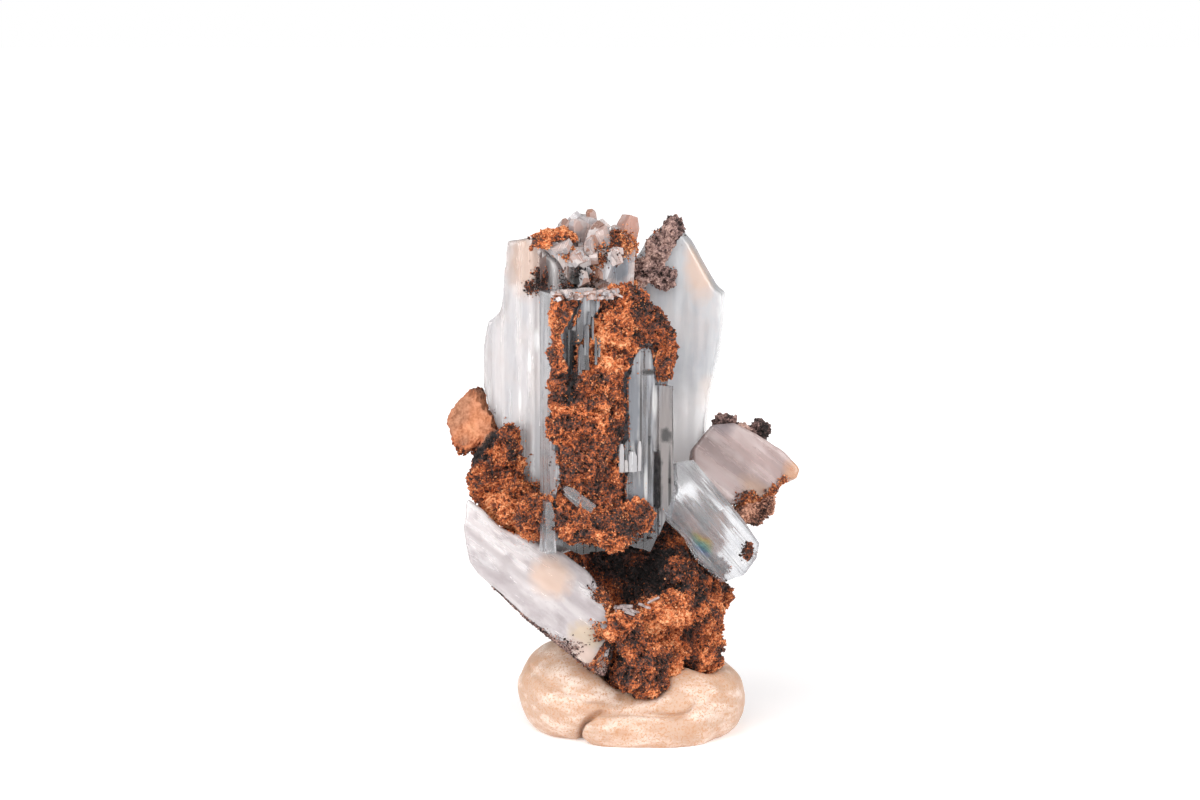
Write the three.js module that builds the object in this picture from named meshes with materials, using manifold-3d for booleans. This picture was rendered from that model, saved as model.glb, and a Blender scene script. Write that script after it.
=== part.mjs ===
// A small mineral specimen: blades of barite grown on a goethite matrix, standing in a lump of display putty.
// Millimetres, +Z up, -Y towards the viewer, origin on the putty's flat underside.
import * as THREE from "three";
import { mergeVertices } from "three/addons/utils/BufferGeometryUtils.js";
import Module from "manifold-3d";

const wasm = await Module();
wasm.setup();

// Driving dimensions
const GAP = 0.3; // clearance between neighbouring solids
const RIB_OVERLAP = 0.06; // how far one rib of a blade runs into the next
const ROUGHNESS = 0.2; // height of the goethite's lumps, as a share of their radius

// Slots between the column's ribs, in its own frame: across, up, width, height, depth from the front face.
const COLUMN_SLOTS = [
  [-3.0, 4.6, 0.8, 5.0, 1.8], [3.55, -4.2, 0.5, 4.2, 1.5],
];

// Barite blades. Each outline lies in the blade's own plane, across and up from the point "at".
// yaw turns the blade about Z, lean tips it about X, roll turns it in its own plane. ribTurn slants the ribs.
const CENTER_COLUMN = {
  outline: [
    [-4.3, -8.6], [-2.4, -9.5], [1.5, -9.1], [3.1, -9.6], [4.2, -7.2], [4.8, -4.8],
    [4.7, 4.6], [3.8, 7.3], [1.6, 9.0], [-1.0, 9.9], [-4.3, 9.7],
  ],
  thickness: 4.4, ribs: 9, ragged: 0.7, least: 0.84, seed: 11,
  at: [-1.45, -3.4, 24.0], yaw: 18, lean: 0, roll: 0,
};
const LEFT_BLADE = {
  outline: [
    [-2.0, 12.0], [-2.4, 8.6], [-2.8, 6.6], [-3.9, 5.9], [-4.4, 3.9], [-4.4, 0.9], [-3.8, -1.0], [-2.4, -3.1],
    [-1.6, -6.1], [-0.8, -9.4], [0.8, -11.3], [2.2, -11.5], [3.7, -8.8], [3.7, 7.8], [2.3, 10.5], [0.3, 12.4],
  ],
  thickness: 3.0, ribs: 9, ragged: 0.5, least: 0.8, seed: 23,
  at: [-6.2, 0.6, 25.1], yaw: -32, lean: 0, roll: 0,
};
const BACK_BLADE = {
  outline: [
    [0.3, 9.7], [-1.2, 8.5], [-2.3, 6.8], [-3.8, 6.2], [-5.2, 3.5], [-5.2, -10.4], [-2.1, -11.9],
    [2.4, -10.2], [3.1, -8.4], [3.0, -5.8], [3.3, -3.1], [3.9, -0.8], [4.3, 1.9], [4.35, 4.2], [3.7, 4.55],
    [1.7, 8.1],
  ],
  thickness: 3.2, ribs: 7, ragged: 0.3, least: 0.92, seed: 37,
  at: [3.45, 4.2, 28.8], yaw: -8, lean: 0, roll: 0,
};
const CLEAR_PRISM = {
  outline: [
    [-2.1, -1.3], [-1.8, -3.7], [-0.5, -4.3], [1.0, -4.0], [1.95, -3.3], [2.2, -1.2], [2.3, 4.6], [1.0, 5.4],
    [-0.7, 5.0], [-1.9, 3.1], [-1.7, 0.7],
  ],
  thickness: 3.0, ribs: 6, ragged: 0.4, least: 0.7, seed: 41,
  at: [6.4, -3.2, 16.0], yaw: 6, lean: -12, roll: -40,
};
const RIGHT_BLADE = {
  outline: [
    [-3.3, 2.7], [-4.9, 0.9], [-4.9, -1.4], [-2.3, -3.4], [-0.3, -3.2], [1.1, -2.7], [1.9, -1.8], [3.1, -1.6],
    [3.4, -0.9], [2.3, 0.5], [0.2, 1.9], [-1.5, 2.8],
  ],
  thickness: 2.0, ribs: 5, ragged: 0.2, least: 0.9, ribTurn: -48, seed: 53,
  at: [10.0, 2.4, 20.3], yaw: 12, lean: -16, roll: 0,
};
const LOWER_BLADE = {
  outline: [
    [-5.2, 6.1], [-5.4, 3.5], [-4.9, 1.3], [-4.3, 0.4], [-2.7, -0.9], [-0.5, -2.9], [1.2, -4.2], [3.2, -5.7],
    [5.2, -7.0], [5.8, -4.5], [5.5, -1.5], [3.8, 0.8], [2.1, 2.0], [-0.5, 3.0], [-2.7, 3.9], [-4.0, 5.2],
  ],
  thickness: 3.0, ribs: 5, ragged: 0.3, least: 0.92, ribTurn: -53, seed: 61,
  at: [-6.4, -3.2, 12.0], yaw: -4, lean: -14, roll: 0,
};

// Small tablets that crown the specimen, joined where they cross: width, height, thickness.
const TOP_TABLETS = [
  { size: [6.6, 4.4, 3.8], at: [-3.1, 0.4, 34.6], yaw: 8, lean: 0, roll: 0 },
  { size: [2.6, 3.6, 1.6], at: [-2.9, 0.8, 37.2], yaw: 14, lean: 6, roll: 8 },
  { size: [1.4, 3.4, 1.4], at: [-1.8, -0.8, 36.4], yaw: -10, lean: -4, roll: -6 },
  { size: [3.4, 2.2, 1.5], at: [-4.3, -1.2, 35.9], yaw: -16, lean: 10, roll: 32 },
  { size: [2.3, 4.2, 2.0], at: [-0.5, 0.2, 35.6], yaw: 22, lean: 0, roll: 4 },
  { size: [1.3, 3.8, 1.2], at: [0.2, 1.0, 37.1], yaw: 30, lean: 0, roll: 16 },
  { size: [1.6, 2.6, 1.0], at: [-5.4, -0.9, 36.0], yaw: 20, lean: 8, roll: -24 },
  { size: [1.1, 2.2, 0.9], at: [-1.1, -1.4, 35.4], yaw: -24, lean: -12, roll: 18 },
  { size: [1.8, 1.6, 0.9], at: [-3.4, -2.0, 34.9], yaw: 6, lean: -20, roll: -40 },
];

// Goethite lumps: centre and half-sizes.
const LOWER_LUMPS = [
  { at: [3.0, -0.4, 8.4], radii: [4.4, 4.4, 4.4], detail: 1 },
  { at: [2.0, -1.6, 4.9], radii: [2.3, 2.3, 2.2], detail: 1 },
  { at: [5.7, -1.4, 6.4], radii: [1.9, 2.4, 2.0], detail: 1 },
  { at: [5.4, -2.0, 10.0], radii: [2.0, 2.8, 2.4], detail: 1 },
  { at: [7.4, 1.2, 10.2], radii: [1.2, 1.3, 1.1], detail: 1 },
  { at: [3.4, -4.0, 9.9], radii: [3.0, 1.7, 1.5], detail: 1 },
  { at: [2.6, -3.8, 6.6], radii: [2.4, 1.4, 1.6], detail: 1 },
  { at: [-1.4, -2.6, 6.8], radii: [2.0, 1.4, 1.0], detail: 1 },
  { at: [0.3, -2.8, 4.9], radii: [1.9, 1.5, 1.3], detail: 1 },
  { at: [0.2, -5.8, 8.9], radii: [1.8, 1.3, 1.9], detail: 1 },
  { at: [1.5, -5.0, 5.8], radii: [2.2, 1.4, 2.5], detail: 1 },
];
const CORE_LUMPS = [
  { at: [1.6, 1.6, 13.5], radii: [4.6, 3.4, 4.0], detail: 1 },
  { at: [-0.6, 1.2, 20.5], radii: [4.4, 2.6, 6.0], detail: 1 },
  { at: [-1.2, 1.6, 29.0], radii: [3.6, 2.4, 6.0], detail: 1 },
  { at: [4.8, -1.8, 12.9], radii: [2.8, 2.4, 1.9], detail: 1 },
];
const LEFT_LUMPS = [
  { at: [-9.3, 0.6, 19.0], radii: [2.3, 2.2, 3.6], detail: 1 },
  { at: [-8.1, -1.5, 16.2], radii: [2.2, 1.7, 2.0], detail: 1 },
  { at: [-8.2, -0.5, 20.9], radii: [1.2, 1.3, 2.6], detail: 1 },
  { at: [-5.6, 1.8, 18.2], radii: [4.2, 1.8, 2.8], detail: 1 },
  { at: [-9.6, 2.8, 21.6], radii: [1.9, 1.3, 2.6], detail: 1 },
];
// Lumps behind the blades, which close the matrix at the back.
const BACK_LUMPS = [
  { at: [-3.2, 4.0, 15.6], radii: [3.4, 2.4, 3.8], detail: 1 },
  { at: [-4.2, 3.4, 22.6], radii: [2.6, 2.0, 4.4], detail: 1 },
  { at: [2.6, 4.2, 11.4], radii: [3.9, 2.7, 3.2], detail: 1 },
  { at: [5.6, 3.0, 14.6], radii: [2.4, 2.0, 2.6], detail: 1 },
];
// A band that wraps the foot of the column, from the left lump round to the clear prism.
const BAND_LUMPS = [
  { at: [-8.0, -2.3, 17.4], radii: [1.9, 1.8, 1.9], detail: 1 },
  { at: [-6.5, -4.4, 16.9], radii: [1.4, 2.3, 1.6], detail: 1 },
  { at: [-4.9, -6.2, 17.3], radii: [1.6, 1.4, 1.6], detail: 1 },
  { at: [-3.2, -6.8, 16.7], radii: [2.1, 1.4, 1.3], detail: 1 },
  { at: [-1.0, -6.3, 16.1], radii: [1.9, 1.5, 1.4], detail: 1 },
  { at: [1.0, -5.5, 17.2], radii: [1.6, 1.4, 1.2], detail: 1 },
];
// Crust lumps on a blade's face, in the blade's own frame: across, up, half-width, half-height.
const CRUST_HEIGHT = 0.9;
const CRUST_DETAIL = 1;
// The column's crust is one sheet let into its front, with swellings on it.
const SHEET_THICKNESS = 1.2;
const SHEET_PROUD = 0.35; // how far the sheet stands out of the column
const COLUMN_SHEET = [
  [-2.5, 5.5], [-2.9, 3.8], [-3.6, 2.3], [-3.7, 5.2], [-3.7, 6.6], [-3.2, 7.4], [-2.8, 8.6], [-2.5, 9.4],
  [-3.6, 9.8], [-4.5, 9.5], [-4.5, 7.6], [-4.6, 5.6], [-4.6, 1.8], [-4.8, 0.3], [-4.6, -0.8], [-4.0, -1.7],
  [-3.6, -3.5], [-4.1, -5.4], [-3.8, -8.0], [-0.6, -8.6], [1.2, -7.6], [0.7, -4.5], [1.1, -3.6], [-0.1, -2.7],
  [0.4, -1.9], [1.1, -1.0], [1.0, 3.0], [1.5, 4.9], [2.1, 5.9], [3.4, 5.9], [3.7, 3.1], [4.8, 3.0],
  [5.2, 5.5], [4.5, 8.2], [3.2, 9.2], [1.5, 10.5], [0.8, 10.3], [-0.6, 9.7], [-0.6, 8.7], [-1.3, 7.4],
];
const COLUMN_CRUST = [
  [-2.6, -2.6, 1.6, 1.9], [-0.9, -0.8, 1.7, 2.4], [-0.5, 3.0, 1.5, 2.1], [0.6, 7.0, 1.5, 1.8],
  [4.3, 5.4, 0.9, 1.9], [-3.7, 8.3, 0.9, 1.1],
];
const TIP_CRUST = [
  [1.2, -3.1, 0.6, 0.6], [0.7, -3.7, 0.6, 0.5],
];
// A dark hollow under the column's foot.
const PITS = [
  { at: [-0.6, -4.4, 13.0], radii: [3.9, 3.4, 1.7], detail: 1 },
];
// The flake: a loose-edged ledge on the far left.
const FLAKE = {
  outline: [
    [-2.0, -0.4], [-1.6, 0.9], [-0.6, 1.8], [-0.1, 2.7], [0.6, 2.8], [1.5, 2.0], [2.1, 0.3], [2.0, -0.6],
    [0.6, -1.8], [-0.8, -2.8], [-1.2, -1.8],
  ],
  thickness: 1.5, at: [-11.3, 2.0, 23.4], yaw: -24, lean: -12, roll: 0,
};

// Crusts that sit apart from the matrix, each on its own blade.
const CROWN_LUMPS = [
  { at: [-5.8, -1.2, 37.0], radii: [1.3, 1.4, 1.1], detail: 0 },
  { at: [-4.5, -1.4, 37.3], radii: [1.2, 1.3, 0.9], detail: 0 },
];
const PEAK_LUMPS = [
  { at: [3.7, 2.6, 38.0], radii: [1.1, 1.5, 1.3], detail: 0 },
  { at: [2.6, 2.6, 36.6], radii: [1.4, 1.5, 1.5], detail: 0 },
  { at: [1.3, 2.3, 35.0], radii: [1.6, 1.4, 1.5], detail: 0 },
  { at: [3.0, 2.3, 34.6], radii: [1.2, 1.1, 1.2], detail: 0 },
];
const RIGHT_CRUST_LUMPS = [
  { at: [9.6, 1.0, 16.5], radii: [1.4, 1.3, 1.2], detail: 0 },
  { at: [10.9, 1.1, 16.9], radii: [1.0, 1.2, 1.3], detail: 0 },
  { at: [10.2, 0.9, 15.7], radii: [0.7, 0.8, 0.8], detail: 0 },
];
const RIGHT_KNOB_LUMPS = [
  { at: [7.9, 3.3, 23.4], radii: [1.0, 0.9, 0.6], detail: 0 },
  { at: [9.2, 3.3, 22.9], radii: [0.9, 0.8, 0.5], detail: 0 },
  { at: [10.6, 3.3, 22.7], radii: [1.0, 0.9, 0.9], detail: 0 },
];
// Display putty: soft lobes pressed together on a flat table.
const PUTTY_LOBES = [
  { at: [-2.8, 0.6, 2.9], radii: [4.8, 5.6, 4.1], turn: 12, detail: 3 },
  { at: [4.9, -0.2, 2.5], radii: [4.3, 5.4, 3.5], turn: -8, detail: 3 },
  { at: [1.0, 2.0, 2.5], radii: [6.2, 4.7, 3.9], turn: 0, detail: 2 },
  { at: [3.0, -2.8, 2.6], radii: [3.4, 2.8, 2.0], turn: 0, detail: 2 },
  { at: [2.4, -4.1, 1.35], radii: [5.2, 2.1, 1.75], turn: 6, detail: 3 },
];
const PUTTY_FLAT_DEPTH = 4; // how far below the table the lobes are cut away

const COLORS = {
  barite: 0xd5d8de,
  pinkBarite: 0xd0b9b4,
  goethite: 0x8a4a22,
  putty: 0xe4c3a1,
};

const radians = THREE.MathUtils.degToRad;

// Solids for joining and cutting

function solidFrom(geometry) {
  const bare = geometry.clone();
  bare.deleteAttribute("normal");
  bare.deleteAttribute("uv");
  const merged = mergeVertices(bare, 1e-4);
  const vertProperties = new Float32Array(merged.attributes.position.array);
  const triVerts = new Uint32Array(merged.index.array);
  return new wasm.Manifold(new wasm.Mesh({ numProp: 3, vertProperties, triVerts }));
}

function geometryFrom(solid) {
  const mesh = solid.getMesh();
  const indexed = new THREE.BufferGeometry();
  indexed.setAttribute("position", new THREE.BufferAttribute(mesh.vertProperties, 3));
  indexed.setIndex(new THREE.BufferAttribute(mesh.triVerts, 1));
  const faceted = indexed.toNonIndexed();
  faceted.computeVertexNormals();
  return faceted;
}

const joined = (solids) => solids.reduce((sum, solid) => sum.add(solid));
const cut = (solid, cutters) => cutters.reduce((rest, cutter) => rest.subtract(cutter), solid);

// Cutting can leave chips. The piece is its largest body.
function largestBody(solid) {
  const bodies = solid.decompose();
  return bodies.reduce((best, body) => (body.volume() > best.volume() ? body : best));
}

// Placing

function orient(object, { at, yaw = 0, lean = 0, roll = 0 }) {
  object.position.set(...at);
  object.rotation.set(radians(lean), radians(roll), radians(yaw), "ZXY");
  object.updateMatrix();
  return object;
}

const matrixOf = (place) => orient(new THREE.Object3D(), place).matrix;
const placed = (place, geometry) => solidFrom(geometry.applyMatrix4(matrixOf(place)));

// A repeatable run of numbers from 0 to 1.
function randomFrom(seed) {
  let state = seed;
  return () => {
    state = (state * 16807) % 2147483647;
    return state / 2147483647;
  };
}

// Barite

// Moves every edge of a closed outline outwards by the same distance.
function widenOutline(points, distance) {
  const turned = THREE.ShapeUtils.area(points) < 0 ? [...points].reverse() : points;
  return turned.map((point, i) => {
    const before = turned[(i + turned.length - 1) % turned.length];
    const after = turned[(i + 1) % turned.length];
    const first = new THREE.Vector2(point.y - before.y, before.x - point.x).normalize();
    const second = new THREE.Vector2(after.y - point.y, point.x - after.x).normalize();
    const miter = first.clone().add(second).divideScalar(1 + first.dot(second));
    return point.clone().addScaledVector(miter, distance);
  });
}

// A flat plate with the outline upright in X and Z, and its thickness along Y.
function plate({ outline, thickness }, grow = 0) {
  const points = outline.map(([across, up]) => new THREE.Vector2(across, up));
  const depth = thickness + 2 * grow;
  const shape = new THREE.Shape(widenOutline(points, grow));
  const geometry = new THREE.ExtrudeGeometry(shape, { depth, bevelEnabled: false });
  return geometry.translate(0, 0, -depth / 2).rotateX(Math.PI / 2);
}

// A blade parted into parallel ribs of unlike thickness and length.
function ribbedBlade(blade) {
  const { outline, thickness, ribs, ragged, least, ribTurn = 0, seed } = blade;
  const random = randomFrom(seed);
  const reach = Math.max(...outline.map(([across, up]) => Math.hypot(across, up)));
  const slant = radians(ribTurn);
  const offsets = outline.map(([across, up]) => across * Math.cos(slant) - up * Math.sin(slant));
  const shares = Array.from({ length: ribs }, () => 0.5 + random());
  const unit = (Math.max(...offsets) - Math.min(...offsets)) / shares.reduce((sum, share) => sum + share);
  const whole = solidFrom(plate(blade));
  let edge = Math.min(...offsets);
  const pieces = shares.map((share) => {
    const width = share * unit;
    const depth = thickness * (least + (1 - least) * random());
    const rib = new THREE.BoxGeometry(width + RIB_OVERLAP, depth, 2 * reach);
    const forward = (random() - 0.5) * (thickness - depth);
    rib.translate(edge + width / 2, forward, -ragged * random());
    edge += width;
    return whole.intersect(solidFrom(rib.rotateY(slant)));
  });
  return largestBody(joined(pieces));
}

function slotsIn(blade, list) {
  return list.map(([across, up, width, height, depth]) => {
    const slot = new THREE.BoxGeometry(width, 2 * depth, height);
    return solidFrom(slot.translate(across, -blade.thickness / 2, up));
  });
}

// A six-sided tablet with a chisel-shaped end.
function tablet({ size: [width, height, thickness] }, grow = 0) {
  const side = width / 2;
  const shoulder = height * 0.3;
  const end = height / 2;
  const outline = [
    [-side, -end], [side, -end], [side, shoulder], [side * 0.4, end], [-side * 0.6, end], [-side, shoulder],
  ];
  return plate({ outline, thickness }, grow);
}

// Goethite

// Uneven height over a unit ball, from -1 to 1, with sharp dips.
function crag(point, seed) {
  const { x, y, z } = point;
  const coarse = Math.sin(2.3 * x + seed) * Math.sin(2.7 * y + 1.7 * seed) * Math.sin(2.1 * z + 2.9 * seed);
  const fine = Math.sin(6.1 * x + 3.1 * seed) + Math.sin(5.3 * y + 0.7 * seed) + Math.sin(6.7 * z + seed);
  return 0.9 * coarse + 0.5 - 0.45 * Math.abs(fine);
}

function lump({ at, radii, detail }, grow = 0) {
  const geometry = new THREE.IcosahedronGeometry(1, detail);
  const corners = geometry.attributes.position;
  const seed = at[0] + 2 * at[1] + 3 * at[2];
  const corner = new THREE.Vector3();
  const sizes = new THREE.Vector3(...radii).addScalar(grow);
  for (let i = 0; i < corners.count; i++) {
    corner.fromBufferAttribute(corners, i);
    const swell = 1 + ROUGHNESS * crag(corner, seed);
    corner.multiply(sizes).multiplyScalar(swell);
    corners.setXYZ(i, corner.x, corner.y, corner.z);
  }
  return solidFrom(geometry.translate(...at));
}

const lumps = (list, grow = 0) => joined(list.map((one) => lump(one, grow)));

// Crust lumps lie half in a blade's front face, so that cutting the blade away leaves caps.
function crustOn(blade, list) {
  const front = -blade.thickness / 2;
  const solids = list.map(([across, up, halfWidth, halfHeight]) => {
    const radii = [halfWidth, CRUST_HEIGHT + GAP, halfHeight];
    return placed(blade, geometryFrom(lump({ at: [across, front, up], radii, detail: CRUST_DETAIL })));
  });
  return joined(solids);
}

// A sheet of crust let into a blade's front face, in the blade's own frame.
function sheetIn(blade, outline, grow = 0) {
  const sheet = plate({ outline, thickness: SHEET_THICKNESS }, grow);
  return sheet.translate(0, (SHEET_THICKNESS - blade.thickness) / 2 - SHEET_PROUD, 0);
}

// Putty

function puttyLobe({ at, radii, turn, detail }) {
  const geometry = new THREE.IcosahedronGeometry(1, detail);
  return solidFrom(geometry.scale(...radii).rotateZ(radians(turn)).translate(...at));
}

// The pieces

const envelope = (blade) => placed(blade, plate(blade, GAP));

const blades = [
  ["barite_center_column", CENTER_COLUMN, COLORS.barite],
  ["barite_left_blade", LEFT_BLADE, COLORS.barite],
  ["barite_back_blade", BACK_BLADE, COLORS.barite],
  ["barite_clear_prism", CLEAR_PRISM, COLORS.barite],
  ["barite_right_blade", RIGHT_BLADE, COLORS.pinkBarite],
  ["barite_lower_blade", LOWER_BLADE, COLORS.pinkBarite],
];
const columnSheet = placed(CENTER_COLUMN, sheetIn(CENTER_COLUMN, COLUMN_SHEET));
const bladeEnvelopes = blades.map(([, blade]) => envelope(blade).subtract(columnSheet));
const tabletEnvelopes = TOP_TABLETS.map((one) => placed(one, tablet(one, GAP)));

function stoneMesh(name, solid, color, roughness) {
  const material = new THREE.MeshStandardMaterial({ color, roughness, metalness: 0 });
  const mesh = new THREE.Mesh(geometryFrom(solid), material);
  mesh.name = name;
  return mesh;
}

const BARITE_ROUGHNESS = 0.2;
const EARTHY_ROUGHNESS = 0.95;
const PUTTY_ROUGHNESS = 0.6;

// What the column leaves room for: its slots and the bed of its crust.
function columnHollows() {
  const bed = solidFrom(sheetIn(CENTER_COLUMN, COLUMN_SHEET, GAP));
  return [bed, ...slotsIn(CENTER_COLUMN, COLUMN_SLOTS)];
}

// Each blade keeps clear of the blades before it, and is modelled about its own place.
function bariteBlades() {
  return blades.map(([name, blade, color], i) => {
    const inverse = matrixOf(blade).invert();
    const toLocal = (solid) => solidFrom(geometryFrom(solid).applyMatrix4(inverse));
    const cutters = bladeEnvelopes.slice(0, i).map(toLocal);
    const hollows = blade === CENTER_COLUMN ? columnHollows() : [];
    const solid = largestBody(cut(ribbedBlade(blade), [...cutters, ...hollows]));
    return orient(stoneMesh(name, solid, color, BARITE_ROUGHNESS), blade);
  });
}

function topTablets() {
  const crowd = joined(TOP_TABLETS.map((one) => placed(one, tablet(one))));
  const solid = largestBody(cut(crowd, bladeEnvelopes));
  return stoneMesh("barite_top_crystals", solid, COLORS.barite, BARITE_ROUGHNESS);
}

const barite = new THREE.Group();
barite.add(...bariteBlades(), topTablets());

function goethitePiece(name, solid, neighbours = []) {
  const cleared = largestBody(cut(solid, [...bladeEnvelopes, ...tabletEnvelopes, ...neighbours]));
  return stoneMesh(name, cleared, COLORS.goethite, EARTHY_ROUGHNESS);
}

// A crust apart from the matrix keeps clear of the matrix's core.
const looseCrust = (name, solid) => goethitePiece(name, solid, [lumps(CORE_LUMPS, GAP)]);

function goethiteMatrix() {
  const masses = [LOWER_LUMPS, CORE_LUMPS, LEFT_LUMPS, BACK_LUMPS, BAND_LUMPS].map((list) => lumps(list));
  const ledge = placed(FLAKE, plate(FLAKE));
  const whole = joined([...masses, ledge, columnSheet, crustOn(CENTER_COLUMN, COLUMN_CRUST)]);
  return goethitePiece("goethite_matrix", whole, [lumps(PITS)]);
}

const goethite = new THREE.Group();
goethite.add(
  goethiteMatrix(),
  looseCrust("goethite_crown", lumps(CROWN_LUMPS)),
  looseCrust("goethite_peak", lumps(PEAK_LUMPS)),
  looseCrust("goethite_right_crust", lumps(RIGHT_CRUST_LUMPS)),
  looseCrust("goethite_right_knobs", lumps(RIGHT_KNOB_LUMPS)),
  looseCrust("goethite_tip_crust", crustOn(CLEAR_PRISM, TIP_CRUST)),
);

function puttyBase() {
  const table = new THREE.BoxGeometry(60, 60, PUTTY_FLAT_DEPTH).translate(0, 0, -PUTTY_FLAT_DEPTH / 2);
  const dough = joined(PUTTY_LOBES.map(puttyLobe)).subtract(solidFrom(table));
  const pressed = cut(dough, [lumps(LOWER_LUMPS, GAP), envelope(LOWER_BLADE)]);
  return stoneMesh("putty_base", largestBody(pressed), COLORS.putty, PUTTY_ROUGHNESS);
}

const specimen = new THREE.Group();
specimen.name = "barite_on_goethite";
specimen.add(barite, goethite, puttyBase());

export default specimen;
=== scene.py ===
# Dresses the mineral specimen: striated barite, porous goethite, soft putty, a white studio and the camera.
import math

import bmesh
import bpy
import numpy as np
from mathutils import Matrix, Vector, noise
from mathutils.bvhtree import BVHTree


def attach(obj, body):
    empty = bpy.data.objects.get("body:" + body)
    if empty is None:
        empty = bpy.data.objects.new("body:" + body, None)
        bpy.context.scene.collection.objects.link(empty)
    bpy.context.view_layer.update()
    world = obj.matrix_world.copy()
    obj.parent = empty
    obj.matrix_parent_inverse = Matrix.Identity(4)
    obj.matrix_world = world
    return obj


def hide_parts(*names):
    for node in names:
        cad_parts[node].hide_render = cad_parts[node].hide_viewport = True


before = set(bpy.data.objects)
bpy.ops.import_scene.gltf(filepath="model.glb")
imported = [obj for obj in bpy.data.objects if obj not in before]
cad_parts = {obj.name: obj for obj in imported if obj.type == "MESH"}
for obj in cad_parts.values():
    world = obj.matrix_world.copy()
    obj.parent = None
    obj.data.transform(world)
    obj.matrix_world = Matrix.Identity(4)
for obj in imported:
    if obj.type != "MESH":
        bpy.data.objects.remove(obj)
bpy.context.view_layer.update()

# Units: shapes are worked out in millimetres, and Blender's own unit is the metre.
MM = 0.001
BODY = "root"
# Points of a CAD node nearer than WELD millimetres are joined, and faces that turn less than FLAT_ANGLE
# degrees become one.
WELD = 0.002
FLAT_ANGLE = 0.6

# Barite blades. at, yaw, lean, roll and rib_turn are the blade's own frame, in millimetres and degrees, with
# 0 for an angle that isn't given.
# A crisp blade is cut across every spacing and rows, and a soft one is worn round to the size of a voxel and
# smoothed SOFT_ROUNDS times. relief is the height of the striations.
BLADES = {
    "barite_center_column": {
        "at": (-1.45, -3.4, 24.0), "yaw": 18,
        "spacing": 0.14, "rows": 0.8, "relief": 0.06, "seed": 11, "slot": "barite",
    },
    "barite_left_blade": {
        "at": (-6.2, 0.6, 25.1), "yaw": -32,
        "voxel": 0.16, "relief": 0.06, "seed": 23, "slot": "barite",
    },
    "barite_back_blade": {
        "at": (3.45, 4.2, 28.8), "yaw": -8,
        "voxel": 0.18, "relief": 0.04, "seed": 37, "slot": "barite",
    },
    "barite_clear_prism": {
        "at": (6.4, -3.2, 16.0), "yaw": 6, "lean": -12, "roll": -40,
        "spacing": 0.18, "rows": 1.3, "relief": 0.035, "seed": 41, "slot": "barite_clear",
    },
    "barite_right_blade": {
        "at": (10.0, 2.4, 20.3), "yaw": 12, "lean": -16, "rib_turn": -48,
        "voxel": 0.15, "relief": 0.04, "seed": 53, "slot": "barite_pink",
    },
    "barite_lower_blade": {
        "at": (-6.4, -3.2, 12.0), "yaw": -4, "lean": -14, "rib_turn": -53,
        "voxel": 0.15, "relief": 0.05, "seed": 61, "slot": "barite_pink",
    },
    "barite_top_crystals": {
        "at": (-3.0, 0.0, 36.0), "yaw": 12, "roll": 4,
        "spacing": 0.2, "rows": 0.6, "relief": 0.05, "seed": 71, "slot": "barite",
    },
}
SOFT_ROUNDS = 3

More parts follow.
